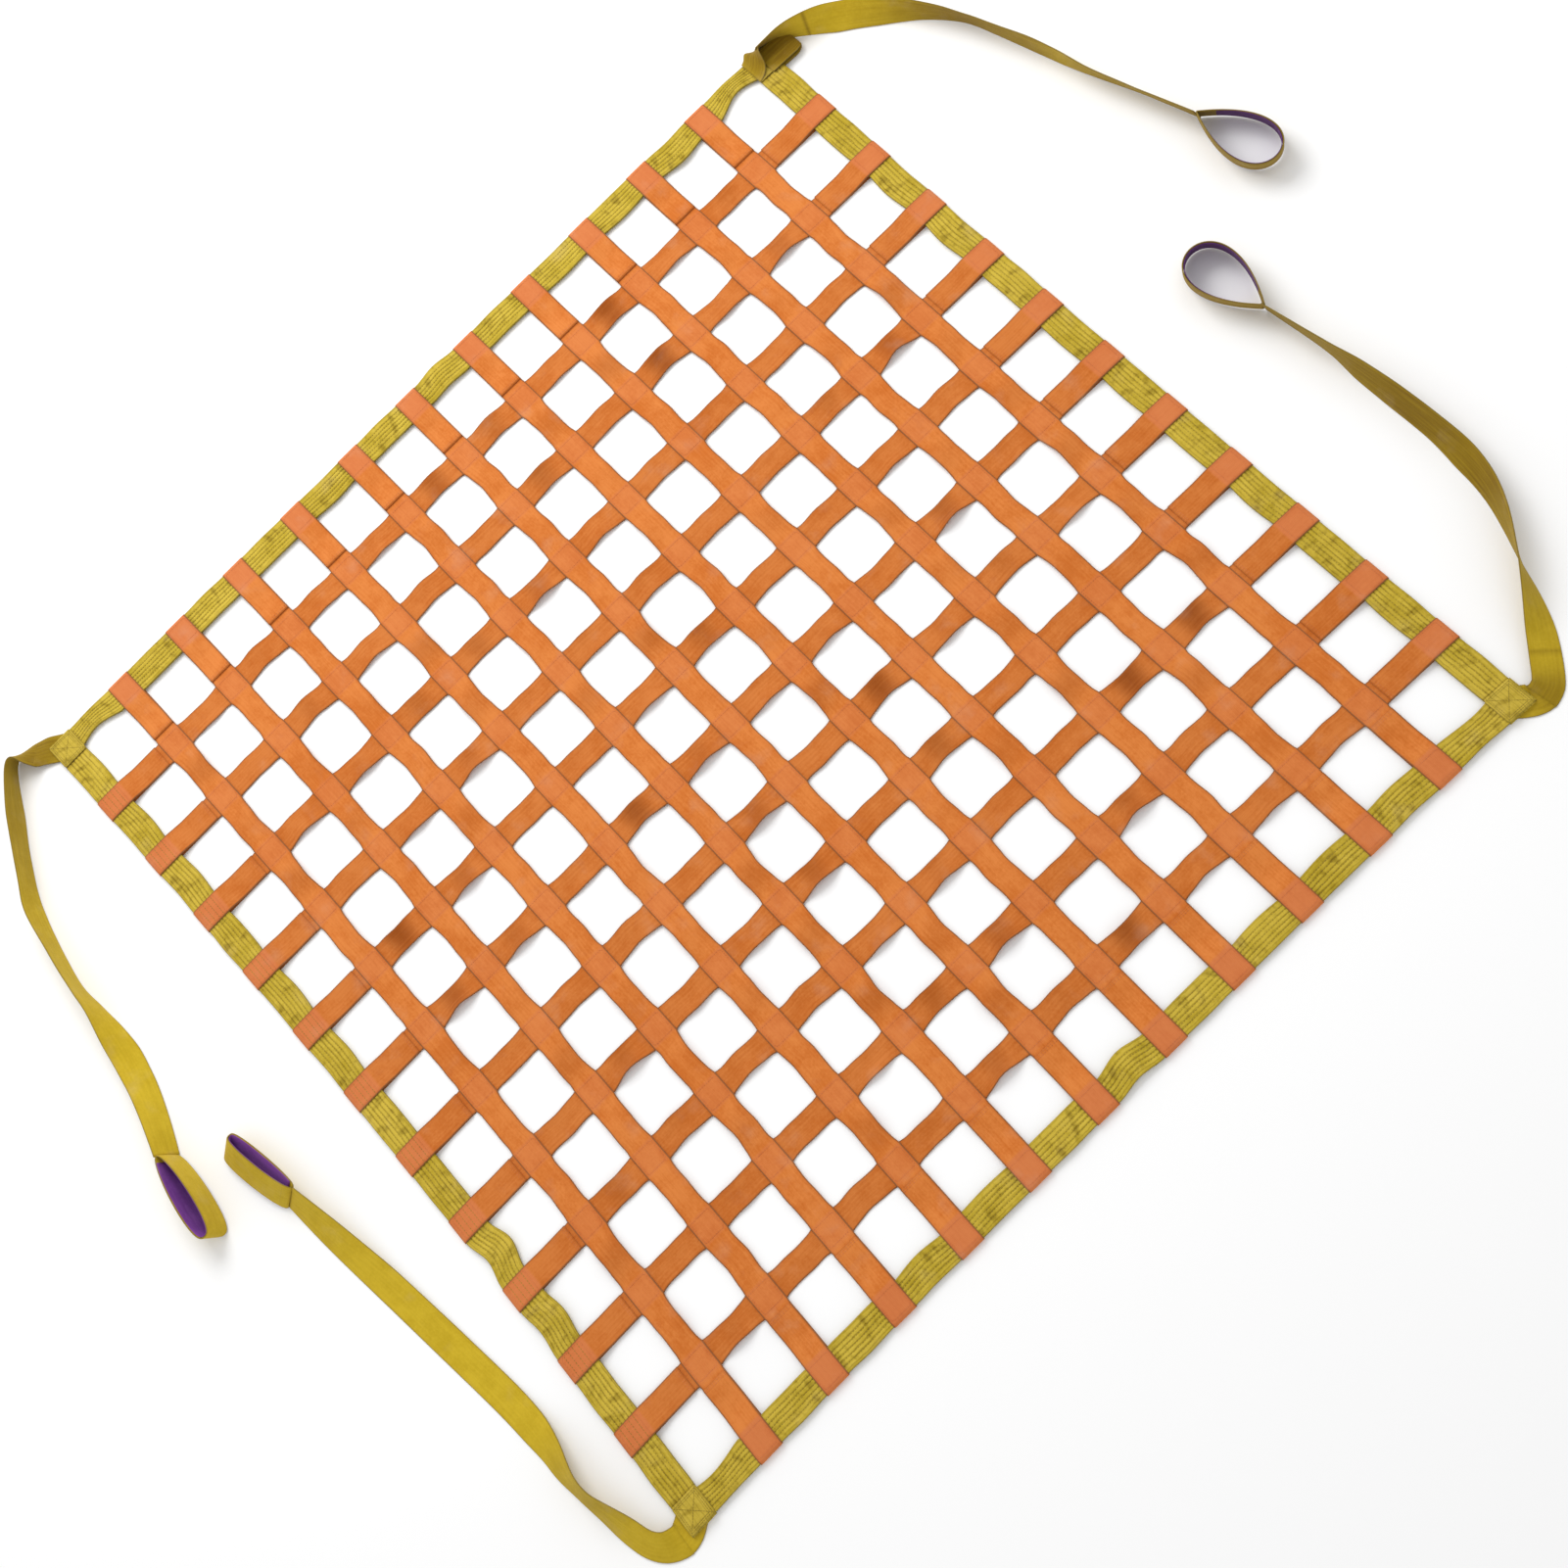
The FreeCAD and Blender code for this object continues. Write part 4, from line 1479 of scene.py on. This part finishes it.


# The last number of each start, route and fold point is its share of painted shade, darker where
# the strap's face turns from the light or folds over.
STRAPS = (
    StrapLay(Corner.BACK_LEFT, 0.833, (
        (-26, -50, 11.4, 180, 0.6), (-24, -41, 11.6, 176, 0.8), (-15, -30, 15, 168, 0.9)), (
        (-6, -18, 60, 0.95), (-10, 10, 68, 0.7), (-22, 37, 88, 0.2), (-38, 66, 104, 0.0),
        (-66, 113, 140, 0.15), (-114, 160, 125, 0.35), (-174, 206, 94, 0.7),
        (-240, 243, 76, 0.95), (-311, 262, 80, 0.8), (-367, 278, 86, 0.7),
        (-427, 291, 84, 0.4), (-479, 302, 74, 0.6), (-561, 327, 68, 0.7),
        (-662, 354, 70, 0.8)), 0.095, (-811, 383), 84 * MM, 90.0, 1.0, (0.25, 0.30), (
        (-26, -26, 1.3, 180, 0.3), (-30, -5, 1.3, 180, 0.5), (-32, 20, 2, 180, 0.7),
        (-34, 40, 5, 181, 0.8), (-34, 46, 9, 181, 0.9), (-34, 40, 13, 181, 1.0),
        (-33, 24, 14.5, 180, 1.0), (-32, 4, 14, 178, 1.0), (-31, -12, 13, 176, 0.9),
        (-30, -24, 12, 176, 0.7))),
    StrapLay(Corner.BACK_RIGHT, 0.850, (
        (-25, -25, 1.3, 135, 0.2), (-14, -15, 1.3, 138, 0.2), (-4, -3, 2, 150, 0.3)), (
        (4, 10, 12, 0.7), (2, 26, 18, 0.85), (-9, 38, 20, 0.5), (-28, 54, 18, 0.1),
        (-60, 79, 26, 0.15), (-106, 109, 54, 0.3), (-154, 136, 82, 0.6),
        (-216, 172, 104, 0.8), (-265, 193, 118, 0.95), (-318, 204, 130, 0.9),
        (-380, 208, 118, 0.95), (-463, 206, 114, 0.95), (-531, 202, 104, 0.9),
        (-575, 200, 86, 0.8), (-620, 196, 80, 0.8), (-704, 186, 74, 0.8)),
        0.068, (-854, 176), 84 * MM, 90.0, 1.0,
        (-0.27, 0.22)),
    StrapLay(Corner.FRONT_RIGHT, 0.912, (
        (-25, -25, 1.3, 135, 0.1), (-12, -9, 1.3, 140, 0.1), (-2, 6, 2, 150, 0.1)), (
        (4, 20, 14, 0.1), (2, 40, 26, 0.15), (-20, 62, 32, 0.05), (-58, 72, 34, 0.1),
        (-98, 81, 50, 0.25), (-128, 89, 60, 0.3), (-158, 92, 58, 0.2), (-188, 92, 44, 0.15),
        (-222, 87, 30, 0.05), (-264, 88, 8, 0.0), (-322, 92, 2, 0.0), (-447, 108, 2, 0.0),
        (-582, 125, 8, 0.05), (-690, 141, 26, 0.1), (-786, 154, 46, 0.1)),
        1.2, (-922, 181), 30 * MM, 44.0, 0.2),
    StrapLay(Corner.FRONT_LEFT, 0.858, (
        (-25, -25, 1.3, 135, 0.2), (-14, -12, 2, 135, 0.5), (-6, 2, 5, 132, 0.8),
        (2, 15, 8, 130, 0.9)), (
        (8, 28, 14, 0.9), (17, 40, 34, 0.9), (24, 51, 66, 0.8), (24, 62, 80, 0.6),
        (14, 74, 84, 0.7), (-10, 90, 88, 0.6),
        (-57, 117, 97, 0.6), (-109, 145, 93, 0.5), (-170, 174, 94, 0.3),
        (-212, 193, 102, 0.15), (-287, 205, 94, 0.15), (-366, 216, 91, 0.15),
        (-431, 212, 106, 0.05), (-513, 222, 150, 0.0), (-610, 236, 130, 0.0),
        (-694, 266, 116, 0.0)), 0.83, (-848, 283), 36 * MM, 102.0, 0.4),
)


@dataclass
class LiftingStrap:
    """One strap: its sewn start, free length, eye, liner and tacks."""

    lay: StrapLay
    sizes: NetSizes
    finishes: Finishes
    maker: StitchMaker
    spacing: float = 5 * MM
    liner_gap: float = 2.2 * MM
    liner_thickness: float = 1.2 * MM
    liner_margin: float = 1.2 * MM
    liner_start: float = 0.5
    eye_start: float = 0.06
    eye_points: int = 72
    tack_start: float = 0.2
    tack_places: tuple[int, ...] = (1, 2, 3, -2, -3, -4)
    tack_margin: float = 7 * MM
    tack_spacing: float = 3.4 * MM
    tack_drop: float = 1.4 * MM
    seam_reach: float = 2.5 * MM
    # Darkening of the dark line across the strap at its seam.
    seam_darkening: float = 0.7
    fold_round: float = 13 * MM
    fold_tip: float = 0.72
    bend: float = 90 * MM
    into_splice: tuple[float, float] = (6 * MM, 12 * MM)

    @property
    def body(self) -> str:
        """The name of the body for the free length, which is only logged."""
        return "strap_" + self.lay.corner.label

    @property
    def thickness(self) -> float:
        """Drawn thickness of the strap's webbing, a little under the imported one."""
        return 0.92 * self.sizes.strap_thickness

    @property
    def half_width(self) -> float:
        """Drawn half width of the strap's webbing."""
        return self.sizes.strap_width / 2.0 - TRIM

    @property
    def turn(self) -> int:
        """1 where the strap bends to its left as it leaves the net, or -1."""
        side_x, side_y = self.lay.corner.value
        return side_x * side_y

    def _placed(self, x: float, y: float, height: float) -> tuple[float, float, float]:
        """A place by the net's corner, in the net's frame.

        Args:
            x: Millimetres outwards from the corner along X.
            y: Millimetres outwards from it along Y.
            height: Height in metres.

        Returns:
            The place in metres.
        """
        side_x, side_y = self.lay.corner.value
        return (side_x * (self.sizes.outer_half + x * MM),
                side_y * (self.sizes.outer_half + y * MM), height)

    def _route(self) -> tuple[np.ndarray, np.ndarray]:
        """The route in the net's frame.

        Returns:
            Its points, and the lean and the share of painted shade at each.
        """
        points = []
        shares = []
        for x, y, lean, darkening in self.lay.route:
            turned = math.radians(lean)
            height = (self.sizes.strap_width * abs(math.sin(turned))
                      + self.sizes.strap_thickness) / 2.0
            points.append(self._placed(x, y, height))
            shares.append((turned, darkening))
        return np.array(points), np.array(shares)

    def _centre_line(self, points: np.ndarray) -> np.ndarray:
        """The smooth line of the strap, read from a spline of the route's points.

        Args:
            points: The route's points.

        Returns:
            Points of the line.
        """
        curve = bpy.data.curves.new("strap route", "CURVE")
        curve.dimensions = "3D"
        curve.resolution_u = 14
        spline = curve.splines.new("NURBS")
        spline.points.add(len(points) - 1)
        for target, point in zip(spline.points, points):
            target.co = (*point, 1.0)
        spline.order_u = 3
        spline.use_endpoint_u = True
        mesh = settled(linked("strap route", curve))
        return np.array([tuple(vertex.co) for vertex in mesh.vertices])

    def _ways(self, line: np.ndarray, lean: np.ndarray) -> np.ndarray:
        """The ways across a strap.

        Args:
            line: Its middle line.
            lean: Its lean at each point of the line.

        Returns:
            The way across it at each point.
        """
        forward = unit(np.gradient(line, axis=0) * (1.0, 1.0, 0.0))
        left = np.stack([-forward[:, 1], forward[:, 0], np.zeros(len(line))], -1) * self.turn
        up = np.array([0.0, 0.0, 1.0])
        return left * np.cos(lean)[:, None] + up * np.sin(lean)[:, None]

    def _free_length(self) -> tuple[bpy.types.Object, np.ndarray, np.ndarray]:
        """Build the free length.

        Returns:
            Its object, its centre line and the ways across it.
        """
        points, shares = self._route()
        line = resampled(self._centre_line(points), self.spacing)
        along = distances(line)
        nearest = [int(np.argmin(np.linalg.norm((line - p)[:, :2], axis=1))) for p in points]
        lean, darkening = (smooth(np.interp(along, along[nearest], shares[:, k]), 8)
                      for k in (0, 1))
        half = self.sizes.strap_width / 2.0
        line[:, 2] = smooth(half * np.abs(np.sin(lean)) + self.thickness / 2.0, 2)
        across = self._ways(line, lean)
        # The route's painted shade, plus a dark line across the strap at its seam.
        seam = np.exp(-((along - self.lay.seam) / self.seam_reach) ** 2)
        darkening = np.clip(darkening + self.seam_darkening * seam, 0.0, 1.0)
        strap = Ribbon("strap_length_" + self.lay.corner.label, line, across,
                       np.full(len(line), self.half_width), self.thickness, darkening=darkening).build(
            self.finishes.strap_webbing)
        return strap, line, across

    def _near_corner(self, name: str, points: tuple[tuple[float, ...], ...],
                     onward: list[tuple[float, ...]]) -> bpy.types.Object:
        """Build a short length of strap by the corner.

        Args:
            name: The object's name.
            points: Points of the start or the fold, as they stand in the lay.
            onward: Further points: place, way across and share of painted shade, in the net's
                frame.

        Returns:
            The object of that length.
        """
        side_x, side_y = self.lay.corner.value
        rough = []
        for x, y, height, facing, darkening in points:
            turned = math.radians(facing)
            way = (side_x * math.cos(turned), side_y * math.sin(turned), 0.0)
            rough.append((*self._placed(x, y, height * MM), *way, darkening))
        table = np.array(rough + onward)
        places = distances(table[:, :3])
        count = int(places[-1] / (3 * MM))
        even = np.linspace(0.0, places[-1], count)
        fine = np.stack([smooth(np.interp(even, places, column), 4) for column in table.T], -1)
        middle, ways, darkening = fine[:, :3], unit(fine[:, 3:6]), fine[:, 6]
        floor = self.half_width * np.abs(ways[:, 2]) + self.thickness / 2.0
        middle[:, 2] = np.maximum(middle[:, 2], floor)
        widths = np.full(count, self.half_width)
        if not onward:
            reach = np.abs(middle[:, 1])
            inside = np.clip((reach.max() - reach) / self.fold_round, 0.0, 1.0)
            widths *= self.fold_tip + (1.0 - self.fold_tip) * np.sqrt(inside)
        return Ribbon(name, middle, ways, widths, self.thickness, darkening=darkening).build(
            self.finishes.strap_webbing)

    def _loop(self, inset: float, start: float) -> np.ndarray:
        """Points of the eye's teardrop in its own plane, from one limb round to the other.

        Args:
            inset: Distance inside the webbing's middle line.
            start: Angle round the teardrop, in radians, that each limb leaves out at the splice.

        Returns:
            Points as (ahead, aside).
        """
        turn = np.linspace(start, 2.0 * math.pi - start, 400)
        x, y = self.lay.route[-1][:2]
        reach = math.dist((x, y), self.lay.eye_tip) * MM
        ahead = (reach - inset) * (1.0 - np.cos(turn)) / 2.0
        wide = self.lay.eye_width / 2.0 - self.sizes.strap_thickness / 2.0 - inset
        shape = np.sign(np.sin(turn)) * np.abs(np.sin(turn)) ** (0.5 + 0.5 * self.lay.eye_full)
        swell = 1.0 + 0.3 * self.lay.eye_full
        aside = swell * wide * shape * np.abs(np.sin(turn / 2.0)) ** self.lay.eye_full
        line = np.stack([ahead, aside], -1)
        return resampled(line, distances(line)[-1] / (self.eye_points - 1))

    def _eye(self, end: np.ndarray, heading: np.ndarray
             ) -> tuple[bpy.types.Object, bpy.types.Object, bpy.types.Object]:
        """Build the eye, its liner and its tacks.

        Args:
            end: The end of the strap's centre line, at the eye's hinge.
            heading: The way that the strap ends.

        Returns:
            The eye's webbing, its liner and its tacks.
        """
        lean = math.radians(self.lay.eye_lean)
        aside = np.array([-heading[1], heading[0], 0.0]) * self.turn
        width_way = aside * math.cos(lean) + np.array([0.0, 0.0, 1.0]) * math.sin(lean)
        plane_way = np.cross(width_way, heading)
        ahead, beside = self.lay.eye_flare
        width_way = unit(width_way + ahead * heading + beside * aside)
        half = self.half_width
        floor = half * abs(math.sin(lean)) + self.thickness * 0.7
        level = abs(math.cos(lean))
        # The eye's webbing and liner take the route's last share of painted shade.
        darkened = self.lay.route[-1][3]
        pieces = []
        for name, inset, start, depth, finish, width in (
                ("eye_loop_", 0.0, self.eye_start, self.thickness,
                 self.finishes.strap_webbing, half),
                ("eye_lining_", self.liner_gap, self.liner_start, self.liner_thickness,
                 self.finishes.eye_liner, half - self.liner_margin)):
            loop = self._loop(inset, start)
            line = end + loop[:, :1] * heading + loop[:, 1:] * plane_way
            line[:, 2] = np.maximum(line[:, 2], floor + inset * level)
            across = np.tile(width_way, (len(line), 1))
            pieces.append(Ribbon(name + self.lay.corner.label, line, across,
                                 np.full(len(line), width), depth,
                                 darkening=np.full(len(line), darkened)).build(finish))
        bars = []
        reach = width_way * (half - self.tack_margin)
        loop = self._loop(-self.thickness / 2.0 - TRIM, self.tack_start)
        for index in self.tack_places:
            foot = end + loop[index, 0] * heading + loop[index, 1] * plane_way
            foot[2] = max(foot[2], floor - self.tack_drop * level)
            bars.append(np.array([foot - reach, foot + reach]))
        tacks = self.maker.sew("eye_bars_" + self.lay.corner.label, bars,
                               self.finishes.border_thread, spacing=self.tack_spacing, seed=21)
        return pieces[0], pieces[1], tacks

    def build(self) -> None:
        """Build the whole strap and hand its pieces over."""
        label = self.lay.corner.label
        strap, line, ways = self._free_length()
        onward = [(*line[i], *ways[i], self.lay.route[0][3]) for i in (0, 1)]
        pieces = [hand_over(self._near_corner("strap_start_" + label, self.lay.start, onward),
                            "net", "strap_webbing", "strap_root_" + label)]
        if self.lay.fold:
            fold = self._near_corner("strap_fold_" + label, self.lay.fold, [])
            pieces.append(hand_over(fold, "net", "strap_webbing"))
        heading = unit(np.subtract(self._placed(*self.lay.eye_tip, 0.0),
                                   line[-1] * (1.0, 1.0, 0.0)))
        eye, liner, tacks = self._eye(line[-1], heading)
        body = "eye_" + label
        hand_over(eye, body, "strap_webbing", "eye_" + label)
        hand_over(liner, body, "eye_liner", "eye_liner_" + label)
        hand_over(tacks, body, "border_thread", "eye_tacks_" + label)
        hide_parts("strap_" + label)
        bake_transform(strap)
        log.info("%s bends from the net to %s, %d faces", strap.name, self.body,
                 len(strap.data.polygons))
        log.info("%s strap is %.3f m long", label, distances(line)[-1])


# ---------------------------------------------------------------------------------------
# Camera, floor and light
# ---------------------------------------------------------------------------------------


@dataclass
class Studio:
    """A plain pale floor under soft light, and the camera."""

    target: tuple[float, float, float] = (0.129, -0.005, 0.0)
    azimuth: float = 90.8
    elevation: float = 69.5
    distance: float = 3.448
    roll: float = -45.3
    focal_length: float = 51.67
    floor_reach: float = 8.0
    floor_shade: float = 0.93
    sky: float = 0.8
    lamp_place: tuple[float, float, float] = (-2.6, 0.3, 2.8)
    lamp_size: float = 2.4
    lamp_power: float = 95.0

    def camera(self) -> None:
        """Make the camera, rolled so that the net stands on one corner."""
        azimuth, elevation, roll = (math.radians(angle) for angle in (
            self.azimuth, self.elevation, self.roll))
        away = Vector((math.sin(azimuth) * math.cos(elevation),
                       -math.cos(azimuth) * math.cos(elevation), math.sin(elevation)))
        right = (-away).cross(Vector((0, 0, 1))).normalized()
        up = right.cross(-away)
        turned_right = right * math.cos(roll) + up * math.sin(roll)
        turned_up = up * math.cos(roll) - right * math.sin(roll)
        data = bpy.data.cameras.new("camera")
        data.lens = self.focal_length
        data.sensor_width = 36.0
        data.clip_end = 100.0
        made = linked("camera", data)
        made.matrix_world = Matrix((
            (turned_right.x, turned_up.x, away.x, 0.0),
            (turned_right.y, turned_up.y, away.y, 0.0),
            (turned_right.z, turned_up.z, away.z, 0.0),
            (0.0, 0.0, 0.0, 1.0)))
        made.location = Vector(self.target) + away * self.distance
        bpy.context.scene.camera = made

    def floor(self) -> None:
        """Make the floor."""
        reach = self.floor_reach
        made = mesh_object("floor", np.array([
            (-reach, -reach, 0.0), (reach, -reach, 0.0), (reach, reach, 0.0),
            (-reach, reach, 0.0)]), [(0, 1, 2, 3)])
        material = bpy.data.materials.new("pale floor")
        material.use_nodes = True
        shader = material.node_tree.nodes["Principled BSDF"]
        shader.inputs["Base Color"].default_value = (*[self.floor_shade] * 3, 1.0)
        shader.inputs["Roughness"].default_value = 0.9
        shader.inputs["Specular IOR Level"].default_value = 0.1
        made.data.materials.append(material)

    def light(self) -> None:
        """Make a bright even sky and one large soft lamp."""
        world = bpy.data.worlds.new("soft sky")
        world.use_nodes = True
        sky = world.node_tree.nodes["Background"]
        sky.inputs["Color"].default_value = (1.0, 1.0, 1.0, 1.0)
        sky.inputs["Strength"].default_value = self.sky
        bpy.context.scene.world = world
        data = bpy.data.lights.new("soft lamp", "AREA")
        data.size = self.lamp_size
        data.energy = self.lamp_power
        lamp = linked("soft lamp", data)
        lamp.location = self.lamp_place
        lamp.rotation_euler = (-lamp.location).to_track_quat("-Z", "Y").to_euler()
        bpy.context.scene.view_settings.view_transform = "Standard"

    def build(self) -> None:
        """Make the camera, the floor and the light."""
        self.camera()
        self.floor()
        self.light()


def main() -> None:
    """Build the studio and then the net, from its straps inwards."""
    logging.basicConfig(level=logging.INFO, format="%(message)s")
    Studio().build()
    sizes = NetSizes.from_frame()
    laid = LaidNet(sizes)
    finishes = Finishes.build(sizes)
    maker = StitchMaker()
    for lay in STRAPS:
        LiftingStrap(lay, sizes, finishes, maker).build()
    MeshStrips(sizes, laid, finishes).build()
    MeshStitching(sizes, laid, finishes, maker).build()
    Border(sizes, laid, finishes, maker).build()


if __name__ == "__main__":
    main()
